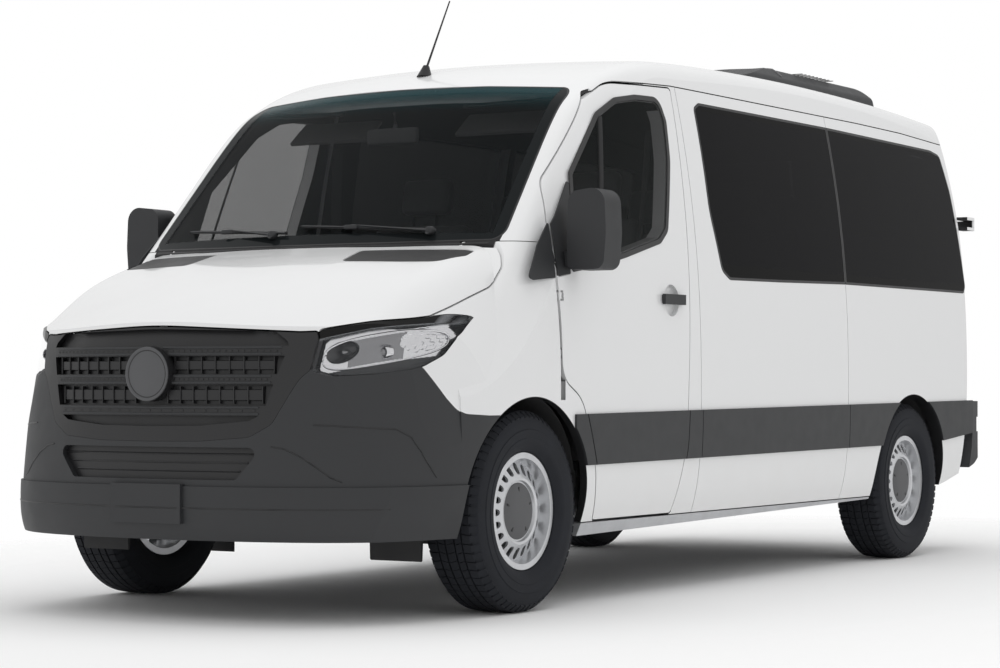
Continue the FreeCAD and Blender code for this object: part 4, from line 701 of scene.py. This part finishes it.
def sewnShare(spot, half, face):
    def groove(distance):
        return math.exp(-(distance / pads["seamHalf"]) ** 2)
    edge = half.x * pads["seamAt"]
    share = groove(abs(spot.x) - edge)
    along, reach = (spot.z, half.z) if face == "y" else (spot.y, half.y)
    if abs(spot.x) < edge:
        share += sum(0.8 * groove(along - line * reach) for line in pads["channels"])
    return min(share, 1.0)


def swollenPad(size, bevel, face, sewn):
    shape = bmesh.new()
    half = Vector(size) / 2
    inset = Vector((0.004,) * 3)
    addBox(shape, -half + inset, half - inset, bevel * 0.85, 4)
    edges = [edge for edge in shape.edges if edge.calc_length() > 0.03]
    bmesh.ops.subdivide_edges(shape, edges=edges, cuts=int(max(size) / pads["grid"]),
                              use_grid_fill=True)
    for vert in shape.verts:
        part = Vector((vert.co.x / half.x, vert.co.y / half.y, vert.co.z / half.z))
        second = part.y if face == "z" else part.z
        crown = max(0, 1 - part.x ** 2) * max(0, 1 - second ** 2)
        seam = sewnShare(vert.co, half, face) if sewn else 0.0
        wrinkle = noise.noise(vert.co * 14) * 0.0016
        swell = pads["crown"] * crown - pads["seamDeep"] * seam * crown ** 0.3 + wrinkle * crown
        if face == "z" and part.z > 0.3:
            vert.co.z += swell
        if face == "y" and part.y < -0.3:
            vert.co.y -= swell
        vert.co.x -= 0.0008 * part.x * (1 - abs(part.x) ** 4)
    return fromBmesh(shape, "pad")


def padPiping(size, face):
    shape = bmesh.new()
    half = Vector(size) / 2
    line = []
    for k in range(48):
        turn = 2 * math.pi * k / 48
        a, b = [math.copysign(abs(part) ** 0.35, part) for part in (math.cos(turn), math.sin(turn))]
        if face == "z":
            line.append((a * (half.x - 0.008), b * (half.y - 0.008), half.z - 0.020))
        else:
            line.append((a * (half.x - 0.008), -half.y + 0.020, b * (half.z - 0.008)))
    addTube(shape, line + line[:1], pads["piping"], 6, capped=False)
    return fromBmesh(shape, "piping")


def seatPads(x, y, width, name, node):
    back, height = pads["hinge"]
    lean = Matrix.Translation((x, y + back, height)) @ Matrix.Rotation(
        math.radians(pads["lean"]), 4, "X")
    for part in ("cushion", "back", "rest"):
        face, place, size, bevel = pads[part]
        size = (size[0] or width,) + size[1:]
        seat = Matrix.Translation((x, y, 0)) if part == "cushion" else lean
        mesh = merged([swollenPad(size, bevel, face, part != "rest"), padPiping(size, face)], part)
        mesh.transform(seat @ Matrix.Translation(place))
        piece = keep("%s_%s" % (name, part), mesh, "seat_fabric", 50)
        if part == "cushion":
            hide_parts(node)


for side, x in frontSeats["places"]:
    seatPads(x, frontSeats["y"], frontSeats["width"], "seat_" + side, "front_seat_pads")
for row in range(benches["rows"]):
    for spot, x in enumerate(benches["places"]):
        seatPads(x, benches["y"] + benches["pitch"] * row, benches["width"],
                 "bench_%d_%d" % (row, spot), "bench_pads")
print("seats made")


# Seals: bands along the edge of each pane
sealBands = (
    # node, which faces, from, to, proud, body
    ("side_glass", "side", -0.0025, 0.010, 0.0012, "body"),
    ("windscreen", "slope", -0.004, 0.006, 0.0006, "body"),
    ("door_glass_left", "side", -0.004, 0.020, 0.0016, "front_door_left"),
    ("door_glass_right", "side", -0.004, 0.020, 0.0016, "front_door_right"),
    ("rear_glass_left", "tail", -0.003, 0.011, 0.0015, "rear_door_left"),
    ("rear_glass_right", "tail", -0.003, 0.011, 0.0015, "rear_door_right"),
    ("tail_lamps", "side", -0.003, 0.004, 0.001, "body"))
outerFaces = {
    "side": lambda face: face.normal.x * math.copysign(1, face.calc_center_median().x) > 0.6,
    "slope": lambda face: face.normal.dot(Vector((0, -0.7, 0.7))) > 0.75,
    "tail": lambda face: face.normal.y > 0.8}


# Loops of (point, outward direction) round the chosen faces of a solid
def borders(name, chosen):
    shape = bmesh.new()
    shape.from_mesh(nodes[name].data)
    bmesh.ops.remove_doubles(shape, verts=shape.verts, dist=0.00002)
    shape.normal_update()
    picked = {face for face in shape.faces if chosen(face)}
    steps = {}
    for edge in shape.edges:
        inside = [face for face in edge.link_faces if face in picked]
        if len(inside) == 1:
            corner = next(loop for loop in inside[0].loops if loop.edge == edge)
            steps[corner.vert] = corner.link_loop_next.vert
    loops = []
    while steps:
        at = next(iter(steps))
        line = []
        while at in steps:
            following = steps.pop(at)
            out = sum((face.normal for face in at.link_faces if face in picked), Vector())
            line.append((at.co.copy(), out.normalized()))
            at = following
        if len(line) > 7:
            loops.append(line)
    shape.free()
    return loops


def addBand(shape, loop, low, high, lift):
    rings = []
    edge = min(0.0015, (high - low) / 3)
    section = ((low, -0.002), (low + edge, lift), (high - edge, lift), (high, -0.002))
    for i, (point, out) in enumerate(loop):
        along = (loop[(i + 1) % len(loop)][0] - loop[i - 1][0]).normalized()
        inward = out.cross(along).normalized()
        rings.append([shape.verts.new(point + inward * across + out * rise)
                      for across, rise in section])
    joinRings(shape, rings + rings[:1], capped=False)


for node, facing, low, high, lift, body in sealBands:
    shape = bmesh.new()
    for loop in borders(node, outerFaces[facing]):
        addBand(shape, loop, low, high, lift)
    keep("seal_" + node, shape, "black_plastic", 40, body)
print("seals made")


# Grille: paired ridges on the bars, panels and dividers between them
grille = {"bars": ((0.980, 0.530), (0.878, 0.502), (0.766, 0.464)), "boss": (0.898, 0.106),
          "panels": ((0.929, 0.512, 0.034), (0.822, 0.478, 0.040)), "panelOut": 0.011,
          "ridge": 0.0052, "ridgeOff": 0.0115, "barSlots": (19, (0.012, 0.002, 0.007)),
          "dividers": (8, (0.004, 0.030, 0.062)),
          "intake": ((0.610, 0.435), (0.580, 0.405), (0.550, 0.375))}
bossProfile = ((0.001, 0.0985), (-0.003, 0.0975), (-0.004, 0.094), (-0.0035, 0.090),
               (0.0005, 0.086), (-0.0035, 0.06), (-0.006, 0.03), (-0.007, 0.0))


def halves(z, reach):
    height, radius = grille["boss"]
    clear = radius ** 2 - (z - height) ** 2
    start = math.sqrt(clear) if clear > 0 else 0.0
    runs = [(start, reach), (-reach, -start)] if start else [(-reach, reach)]
    return [[(x, 0, z) for x in spaced(low, high, 31)] for low, high in runs]


def addStrip(shape, points, tall, proud, sunk=0.002):
    half, edge = tall / 2, 0.003 - proud
    section = ((-proud, 0.002 - half), (-proud, half - 0.002), (edge, half), (sunk, half),
               (sunk, -half), (edge, -half))
    joinRings(shape, [[shape.verts.new(point + Vector((0, y, z))) for y, z in section]
                      for point in points])


def makeGrille():
    tree = surfaceOf("grilles")
    ridges, panels, slots = bmesh.new(), bmesh.new(), []
    for z, reach in grille["bars"]:
        for offset in (-grille["ridgeOff"], grille["ridgeOff"]):
            for line in halves(z + offset, reach - 0.012):
                addTube(ridges, onFace(tree, line, toRear, -0.0012), grille["ridge"], 8)
        for line in halves(z, reach - 0.03):
            slots.append(alongLine(onFace(tree, line, toRear, 0.0004), *grille["barSlots"]))
    for z, reach, tall in grille["panels"]:
        for line in halves(z, reach - 0.02):
            path = onFace(tree, line, toRear)
            addStrip(panels, path, tall, grille["panelOut"])
            slots.append(alongLine(path, *grille["dividers"]))
    keep("grille_ridges", ridges, "dark_plastic", 50)
    keep("grille_panels", panels, "black_plastic", 30)
    keep("grille_slots", merged(slots, "slots"), "black_plastic", 30)
    boss = bmesh.new()
    spot = onFace(tree, [(0, 0, grille["boss"][0])], toRear)[0]
    addTurned(boss, bossProfile, spot, "y", 72)
    keep("grille_boss", boss, "black_plastic", 50, finish=capPlastic)
    net = bmesh.new()
    for z, reach in grille["intake"]:
        line = [(x, 0, z) for x in spaced(-reach, reach, 25)]
        addTube(net, onFace(tree, line, toRear, -0.002), 0.005, 6)
    keep("intake_bars", net, "black_plastic", 50)


makeGrille()
print("grille made")


# Headlamps: reflectors and bezels behind the lens
lamp = {"bowl": (0.681, 0.974, 0.044, 0.040), "bowlDeep": 0.040,
        "facet": (0.862, 1.024, 0.043, 0.045), "facetDeep": 0.030, "facetStep": (0.009, 0.013),
        "ring": (0.783, 0.975, 0.026), "tray": 0.008, "lean": 0.27, "middle": (0.77, 0.985),
        "across": (0.618, 0.936, 132), "upward": (0.888, 1.118, 88), "start": -3.4,
        "deepest": 0.11, "rim": (0.768, 0.134, 0.056), "wing": 0.905}


def roundShare(x, z, part):
    dx = (x - part[0]) / part[2]
    dz = (z - part[1] - lamp["lean"] * (x - part[0])) / part[3]
    return dx * dx + dz * dz


def middleLine(x):
    return lamp["middle"][1] + lamp["lean"] * (x - lamp["middle"][0])


def lampDepth(x, z):
    depth = lamp["tray"]
    bowl, facet = roundShare(x, z, lamp["bowl"]), roundShare(x, z, lamp["facet"])
    if bowl < 1:
        depth += lamp["bowlDeep"] * (1 - bowl)
    if facet < 1:
        across, up = lamp["facetStep"]
        depth += lamp["facetDeep"] * (1 - facet) + 0.005 * ((int(x / across) + int(z / up)) % 2)
    if x > lamp["wing"]:
        depth += 0.010 * math.sin((z - 0.95) * 40)
    return depth


def lampZone(x, z):
    above = z - middleLine(x)
    if roundShare(x, z, lamp["bowl"]) < 0.93:
        return "dark"
    if roundShare(x, z, lamp["facet"]) < 1:
        return "chrome"
    if above < -0.054:
        return "grey"
    if 0.897 < x < 0.928 and 0.965 < z < 1.018:
        return "dark"
    if 0.70 < x < 0.83 and abs(above) < 0.048:
        return "satin"
    return "chrome"


# The inner side of the lens, straight behind a point of the front view
def behindLens(tree, x, z, back=0.0):
    first = hit(tree, (x, lamp["start"], z), toRear)
    second = first and hit(tree, first + Vector((0, 0.002, 0)), toRear)
    if second and second.y - first.y < lamp["deepest"]:
        return second + Vector((0, back, 0))


def lampSheets(tree):
    across, upward = spaced(*lamp["across"]), spaced(*lamp["upward"])
    spots = {}
    for i, x in enumerate(across):
        for k, z in enumerate(upward):
            spot = behindLens(tree, x, z, lampDepth(x, z))
            if spot:
                spots[i, k] = Vector((x, spot.y, z))
    sheets = {zone: bmesh.new() for zone in ("chrome", "grey", "dark", "satin")}
    corners = {}
    for i in range(len(across) - 1):
        for k in range(len(upward) - 1):
            keys = ((i, k), (i + 1, k), (i + 1, k + 1), (i, k + 1))
            if not all(key in spots for key in keys):
                continue
            zone = lampZone((across[i] + across[i + 1]) / 2, (upward[k] + upward[k + 1]) / 2)
            face = []
            for key in keys:
                if (zone, key) not in corners:
                    corners[zone, key] = sheets[zone].verts.new(spots[key])
                face.append(corners[zone, key])
            sheets[zone].faces.new(face)
    return sheets


def makeLamps():
    tree = surfaceOf("headlamps")
    finishes = (chrome, look["dark_plastic"], lampDark, greyChrome)
    parts = [("lamp_" + zone, sheet, finish)
             for (zone, sheet), finish in zip(lampSheets(tree).items(), finishes)]
    rim = bmesh.new()
    line = []
    middle, wide, tall = lamp["rim"]
    for k in range(64):
        turn = 2 * math.pi * k / 64
        a, b = [math.copysign(abs(part) ** 0.75, part) for part in (math.cos(turn), math.sin(turn))]
        x = middle + wide * a
        line.append(behindLens(tree, x, middleLine(x) + tall * b, 0.004))
    addTube(rim, line + line[:1], 0.0032, 8, capped=False)
    x, z, radius = lamp["ring"]
    centre = behindLens(tree, x, z)
    addTurned(rim, [(0.030, radius - 0.006), (0.002, radius - 0.005), (-0.001, radius - 0.002),
                    (0.002, radius), (0.034, radius + 0.004), (0.036, radius - 0.004),
                    (0.030, radius - 0.006)], centre, "y", 40)
    parts.append(("lamp_rims", rim, chrome))
    bulb = bmesh.new()
    addTurned(bulb, [(0.028, 0.0195), (0.012, 0.0185), (0.004, 0.012), (0.001, 0.0)],
              centre, "y", 32)
    addTurned(bulb, [(0.040, 0.010), (0.010, 0.010), (0.002, 0.006), (0.0, 0.0)],
              behindLens(tree, *lamp["bowl"][:2], 0.012), "y", 24)
    parts.append(("lamp_bulbs", bulb, greyChrome))
    for name, shape, finish in parts:
        bmesh.ops.recalc_face_normals(shape, faces=shape.faces)
        mesh = bpy.data.meshes.new(name)
        shape.to_mesh(mesh)
        shape.free()
        keep(name + "_left", mesh, "lamp_lens", finish=finish)
        keep(name + "_right", mirrorMesh(mesh, name), "lamp_lens", finish=finish)


makeLamps()
print("lamps made")


# Windscreen wipers and the cowl seal at its foot
wipers = {"pivots": ((0.56, -0.02), (-0.14, -0.64)), "blade": 0.56, "grip": 0.24,
          "armZ": (1.450, 1.480), "bladeZ": (1.482, 1.456), "gripZ": 1.472}
cowlSeal = {"back": -1.902, "bow": 0.2325, "half": 0.80, "radius": 0.0065}


def makeWipers():
    tree = surfaceOf("windscreen", "windscreen_frame")
    arms, blades = bmesh.new(), bmesh.new()
    for pivot, tip in wipers["pivots"]:
        middle = tip + wipers["grip"]
        arm = [(x, 0, z) for x, z in zip(spaced(pivot, middle, 13), spaced(*wipers["armZ"], 13))]
        path = onFace(tree, arm, toRear, 0.026)
        addTube(arms, path, [0.0105 - 0.0004 * k for k in range(13)], 10, 0.55)
        addTurned(arms, [(-0.012, 0.0), (-0.012, 0.012), (-0.008, 0.0165), (0.014, 0.0175),
                         (0.020, 0.0)], path[0], "y", 24)
        blade = [(x, 0, z) for x, z in zip(spaced(tip, tip + wipers["blade"], 25),
                                           spaced(*wipers["bladeZ"], 25))]
        addTube(arms, onFace(tree, blade, toRear, 0.021), 0.0055, 8, 0.7)
        addTube(blades, onFace(tree, blade, toRear, 0.010), 0.0042, 6, 1.6)
        joint = onFace(tree, [(middle, 0, wipers["gripZ"])], toRear, 0.023)[0]
        addBox(arms, (-0.030, -0.010, -0.009), (0.030, 0.008, 0.009), 0.004, at=joint)
    keep("wiper_arms", arms, "black_plastic", 50, finish=look["dark_plastic"])
    keep("wiper_rubbers", blades, "black_plastic", 50)


def makeCowlSeal():
    half = cowlSeal["half"]
    line = [(x, cowlSeal["back"] + cowlSeal["bow"] * x * x, 1.4) for x in spaced(-half, half, 41)]
    shape = bmesh.new()
    path = onFace(surfaceOf("windscreen_frame"), line, toGround, -0.003)
    addTube(shape, path, cowlSeal["radius"], 8)
    keep("cowl_seal", shape, "black_plastic", 60)


# Front doors: a black band of painted shade along the shut line at their front edge, roof seal and
# the bar in the window
doorEdgeShade = {"y": -1.5435, "from": 1.276, "to": 1.478, "radius": 0.0062}
roofSeal = {"y": (-1.135, -0.975), "z": (2.000, 2.066), "apart": 0.022, "in": 0.010,
            "radius": 0.0095}
windowBar = {"top": (-1.026, 1.999), "slope": 0.305, "from": 1.30, "to": 1.985, "radius": 0.0115}


def makeDoorFillers():
    for side, sign in sides:
        door, inward = "front_door_" + side, (-sign, 0, 0)
        # A flattened black tube on the door's front edge by the sail: painted shade of the shut
        # line
        edge = bmesh.new()
        line = [(0, doorEdgeShade["y"], z) for z in spaced(doorEdgeShade["from"], doorEdgeShade["to"], 17)]
        addTube(edge, onFace(surfaceOf(door), line, inward, -0.001), doorEdgeShade["radius"], 8, 0.35)
        keep("door_edge_shade_" + side, edge, "black_plastic", 60, door)
        near = surfaceOf("roof", "windscreen_frame", door)
        path = []
        for y, z in zip(spaced(*roofSeal["y"], 13), spaced(*roofSeal["z"], 13)):
            spots = onFace(near, [(0, y, z - roofSeal["apart"]), (0, y, z + roofSeal["apart"])],
                           inward)
            reach = sum(abs(spot.x) for spot in spots) / len(spots)
            path.append((sign * (reach - roofSeal["in"]), y, z))
        seal = bmesh.new()
        addTube(seal, path, roofSeal["radius"], 10)
        keep("roof_seal_" + side, seal, "black_plastic", 60)


def makeDivisionBars():
    for side, sign in sides:
        y, top = windowBar["top"]
        line = [(0, y - windowBar["slope"] * (top - z), z)
                for z in spaced(windowBar["from"], windowBar["to"], 15)]
        shape = bmesh.new()
        path = onFace(surfaceOf("door_glass_" + side), line, (-sign, 0, 0), 0.002)
        addTube(shape, path, windowBar["radius"], 8, 0.3)
        keep("division_bar_" + side, shape, "black_plastic", 60, "front_door_" + side)


# Front bumper: dark lines of painted shade along its arcs and recess edges, given in front view on
# the left half, and one along the crease across
bumperShadeArcs = (
    ((0.501, 0.639), (0.545, 0.632), (0.60, 0.606), (0.652, 0.570), (0.701, 0.530),
     (0.74, 0.512)),
    ((0.640, 0.716), (0.70, 0.713), (0.78, 0.707), (0.855, 0.700), (0.885, 0.672),
     (0.905, 0.620), (0.922, 0.560), (0.932, 0.520)))
bumperCreaseShade = {"z": 0.417, "half": 0.86}


def makeBumperShadeLines():
    # Black tubes on the bumper's surface: painted shade along its creases and recess edges
    tree = surfaceOf("front_bumper")
    shape = bmesh.new()
    for sign in (1, -1):
        for line in bumperShadeArcs:
            fine = []
            for (x0, z0), (x1, z1) in zip(line, line[1:]):
                fine += [(sign * x, 0, z) for x, z in
                         list(zip(spaced(x0, x1, 7), spaced(z0, z1, 7)))[:-1]]
            addTube(shape, onFace(tree, fine, toRear, -0.0005), 0.0028, 6)
    half = bumperCreaseShade["half"]
    crease = [(x, 0, bumperCreaseShade["z"]) for x in spaced(-half, half, 61)]
    addTube(shape, onFace(tree, crease, toRear, -0.001), 0.0030, 6)
    keep("bumper_shade_lines", shape, "black_plastic", 60)


# Roof unit: one rib across, a line on each side, three rows of slots
roofUnit = {"ribY": 1.30, "ribHalf": 0.60, "lineZ": 2.262, "lineY": (1.0, 2.28), "above": 2.4,
            "slotX": (-0.40, 0.0, 0.40), "slotY": 1.55, "slotPitch": 0.045, "slotRows": 9,
            "slotHalf": 0.12, "slot": (0.10, 0.012, 0.003)}


def makeRoofUnitLines():
    tree = surfaceOf("roof_air_unit")
    above, half = roofUnit["above"], roofUnit["ribHalf"]
    shape = bmesh.new()
    rib = [(x, roofUnit["ribY"], above) for x in spaced(-half, half, 49)]
    addTube(shape, onFace(tree, rib, toGround, 0.001), 0.005, 6)
    for sign in (1, -1):
        line = [(0, y, roofUnit["lineZ"]) for y in spaced(*roofUnit["lineY"], 33)]
        addTube(shape, onFace(tree, line, (-sign, 0, 0), 0.001), 0.004, 6)
    keep("roof_unit_ribs", shape, "dark_plastic", 50, finish=ribGrey)
    slots = []
    for x in roofUnit["slotX"]:
        for row in range(roofUnit["slotRows"]):
            y = roofUnit["slotY"] + row * roofUnit["slotPitch"]
            half = roofUnit["slotHalf"]
            line = [(x + a, y, above) for a in spaced(-half, half, 9)]
            slots.append(alongLine(onFace(tree, line, toGround), 2, roofUnit["slot"]))
    keep("roof_unit_slots", merged(slots, "slots"), "black_plastic", 30)


# Right side: rail and handle of the sliding door
slideRail = {"y": (1.14, 2.52), "z": 1.235, "bars": ((0.012, 0.003), (-0.012, 0.003), (0.0, 0.007))}
slideGrip = {"at": (0, -0.26, 1.209), "bar": ((-0.020, -0.09, -0.020), (-0.008, 0.09, 0.020)),
             "feet": (-0.075, 0.06)}


def makeSideFittings():
    tree = surfaceOf("sliding_door", "rear_quarters")
    rail, grip = bmesh.new(), bmesh.new()
    path = onFace(tree, [(0, y, slideRail["z"]) for y in spaced(*slideRail["y"], 45)], (1, 0, 0))
    for offset, radius in slideRail["bars"]:
        addTube(rail, [point + Vector((0, 0, offset)) for point in path], radius, 6)
    keep("door_rail", rail, "black_plastic", 50)
    spot = onFace(tree, [slideGrip["at"]], (1, 0, 0))[0]
    addBox(grip, *slideGrip["bar"], 0.006, 3, spot)
    for y in slideGrip["feet"]:
        addBox(grip, (-0.010, y, -0.015), (0.004, y + 0.015, 0.015), 0.002, at=spot)
    keep("slide_handle", subdivided(fromBmesh(grip, "grip"), 1), "dark_plastic", 50)


# Rear doors: handle on the left one, blank plate holder with its lamp bar on the right one
rearBlocks = {
    "left": ((0.10, 0, 1.19), (((-0.075, 0.006, -0.022), (0.075, 0.024, 0.022), 0.008, 3),
                               ((-0.085, -0.002, -0.034), (0.085, 0.006, 0.034), 0.003, 2))),
    "right": ((-0.40, 0, 1.02), (((-0.265, -0.003, -0.062), (0.265, 0.006, 0.062), 0.003, 2),
                                 ((-0.20, 0.0, 0.070), (0.20, 0.030, 0.098), 0.008, 3)))}
stopStrip = {"x": 0.45, "z": 2.015, "low": (-0.11, -0.002, -0.012), "high": (0.11, 0.006, 0.012)}
stepGrip = {"y": 2.775, "pitch": 0.011, "rows": 5, "half": 0.72, "z": 0.6, "count": 41,
            "rib": (0.022, 0.004, 0.003)}


def makeRearFittings():
    for side, sign in sides:
        body = "rear_door_" + side
        tree = surfaceOf(body)
        at, blocks = rearBlocks[side]
        parts, strip = bmesh.new(), bmesh.new()
        spot = onFace(tree, [at], toFront)[0]
        for low, high, bevel, segments in blocks:
            addBox(parts, low, high, bevel, segments, spot)
        keep("rear_fitting_" + side, parts, "dark_plastic", 40, body)
        spot = onFace(tree, [(sign * stopStrip["x"], 0, stopStrip["z"])], toFront)[0]
        addBox(strip, stopStrip["low"], stopStrip["high"], 0.004, 3, spot)
        keep("stop_strip_" + side, strip, "red_lens", 40, body)
    tree = surfaceOf("rear_bumper")
    rows = []
    for row in range(stepGrip["rows"]):
        y, half = stepGrip["y"] + row * stepGrip["pitch"], stepGrip["half"]
        path = onFace(tree, [(x, y, stepGrip["z"]) for x in spaced(-half, half, 9)], toGround)
        rows.append(alongLine(path, stepGrip["count"], stepGrip["rib"]))
    keep("step_grip", merged(rows, "grip"), "black_plastic", 30)


# Flaps ahead of the front wheels
frontFlap = {"outline": ((-2.225, 0.42), (-2.217, 0.212), (-2.209, 0.212), (-2.195, 0.42)),
             "x": (0.57, 0.80), "bevel": 0.003}


def makeFrontFlaps():
    shape = bmesh.new()
    for sign in (1, -1):
        rings = [[shape.verts.new((x, y, z)) for y, z in frontFlap["outline"]]
                 for x in sorted(sign * x for x in frontFlap["x"])]
        joinRings(shape, rings)
        edges = list({edge for ring in rings for vert in ring for edge in vert.link_edges})
        bmesh.ops.bevel(shape, geom=edges, offset=frontFlap["bevel"], segments=2, affect="EDGES")
    keep("front_flaps", shape, "flap_rubber", 40)


makeWipers()
makeDoorFillers()
makeDivisionBars()
makeBumperShadeLines()
makeCowlSeal()
makeRoofUnitLines()
makeSideFittings()
makeRearFittings()
makeFrontFlaps()
print("dressing made")


# Cabin: mirror, visors, instruments, vents and belts
cabin = {"mirror": (0, -1.215, 1.885), "mirrorHalf": (0.125, 0.014, 0.034),
         "stalk": ((0, 0.005, 0), (0, 0.02, 0.05), (0, 0.01, 0.10)),
         "visorX": 0.42, "visor": ((-0.20, -1.10, 1.925), (0.20, -0.95, 1.943)), "visorTurn": 38,
         "dash": (((0.24, -1.32, 1.30), (0.62, -1.10, 1.395), 0.035, 4),
                  ((-0.15, -1.19, 1.25), (0.15, -1.165, 1.40), 0.010, 3),
                  ((-0.62, -1.30, 1.305), (0.10, -1.16, 1.345), 0.018, 3)),
         "ventX": (-0.80, -0.25, 0.25, 0.80), "ventY": -1.153, "ventZ": 1.24, "ventPitch": 0.012,
         "ventRows": 4, "vent": (0.018, 0.006, 0.003),
         "belt": ((0.80, -0.47, 1.93), (0.79, -0.50, 1.62), (0.76, -0.53, 1.35),
                  (0.71, -0.56, 1.10), (0.69, -0.60, 0.98))}


def makeCabin():
    mirror, plates, top = bmesh.new(), bmesh.new(), bmesh.new()
    place, half = Vector(cabin["mirror"]), Vector(cabin["mirrorHalf"])
    addBox(mirror, place - half, place + half, 0.012, 3)
    addTube(mirror, [place + Vector(step) for step in cabin["stalk"]], 0.009, 10)
    keep("inner_mirror", mirror, "dash_plastic", 40)
    turn = Matrix.Rotation(math.radians(cabin["visorTurn"]), 4, "X")
    for sign in (1, -1):
        addBox(plates, *cabin["visor"], 0.007, 3, (sign * cabin["visorX"], 0, 0), turn)
    keep("sun_visors", plates, "seat_fabric", 40, finish=visorCloth)
    for low, high, bevel, segments in cabin["dash"]:
        addBox(top, low, high, bevel, segments)
    keep("dash_top", subdivided(fromBmesh(top, "dashTop"), 1), "dash_plastic", 50)
    vents = []
    for x in cabin["ventX"]:
        for row in range(cabin["ventRows"]):
            z = cabin["ventZ"] + row * cabin["ventPitch"]
            line = [(x - 0.05, cabin["ventY"], z), (x + 0.05, cabin["ventY"], z)]
            vents.append(alongLine(line, 5, cabin["vent"]))
    keep("dash_vents", merged(vents, "vents"), "black_plastic", 30)
    for side, sign in sides:
        belt = bmesh.new()
        addTube(belt, [(sign * x, y, z) for x, y, z in cabin["belt"]], 0.023, 10, 0.07)
        keep("belt_" + side, belt, "seat_fabric", 60, finish=beltWeb)


makeCabin()
print("cabin made")


# Stage, light and background: the floor fades out, so no horizon shows
stage = {"floor": rgb(0.97, 0.97, 0.97), "patch": rgb(0.95, 0.95, 0.95), "size": 40,
         "fade": (16.0, 5.6), "shift": 0.4, "squeeze": 0.4, "sky": 0.72, "mirrored": 0.8,
         "lamps": {"key": ((-3.5, -8.5, 7.5), (0, -1, 1), (6, 4), 60),
                   "side": ((8.5, -3.0, 5.0), (0, 0, 1), (7, 4), 20),
                   "top": ((0, 0, 8.0), (0, 0, 0), (9, 6), 240)}}


def addFloor():
    mesh = bpy.data.meshes.new("floor")
    reach = stage["size"]
    corners = [(-reach, -reach, 0), (reach, -reach, 0), (reach, reach, 0), (-reach, reach, 0)]
    mesh.from_pydata(corners, [], [(0, 1, 2, 3)])
    floor = bpy.data.objects.new("floor", mesh)
    scene.collection.objects.link(floor)
    paint = newPaint("floorPale")
    x, y, z = paint.split()
    along = y + stage["shift"]
    away = x * x + along * along * stage["squeeze"]
    mesh.materials.append(paint.finish(
        Base_Color=paint.blend(paint.noise(0.8, 2) * 0.04, stage["floor"], stage["patch"]),
        Roughness=0.9, Alpha=paint.ramp(away, *stage["fade"])))


def addSky():
    world = bpy.data.worlds.new("studio")
    scene.world = world
    paint = Paint(world)
    camera, through, glossy = [paint.make("ShaderNodeLightPath", output="Is %s Ray" % kind)
                               for kind in ("Camera", "Transmission", "Glossy")]
    plain = camera.most(through) * (1 - stage["sky"]) + stage["sky"]
    strength = plain * (1 - glossy) + glossy * stage["mirrored"]
    light = paint.make("ShaderNodeBackground", None, (rgb(1, 1, 1), strength))
    paint.make("ShaderNodeOutputWorld", None, (light,))


def addLamps():
    for name, (place, aim, size, power) in stage["lamps"].items():
        data = bpy.data.lights.new(name, "AREA")
        data.shape = "RECTANGLE"
        data.size, data.size_y = size
        data.energy = power
        light = bpy.data.objects.new(name, data)
        light.visible_glossy = False
        light.location = place
        aimed = Vector(aim) - Vector(place)
        light.rotation_euler = aimed.to_track_quat("-Z", "Y").to_euler()
        scene.collection.objects.link(light)


addFloor()
addSky()
addLamps()
print("stage made")
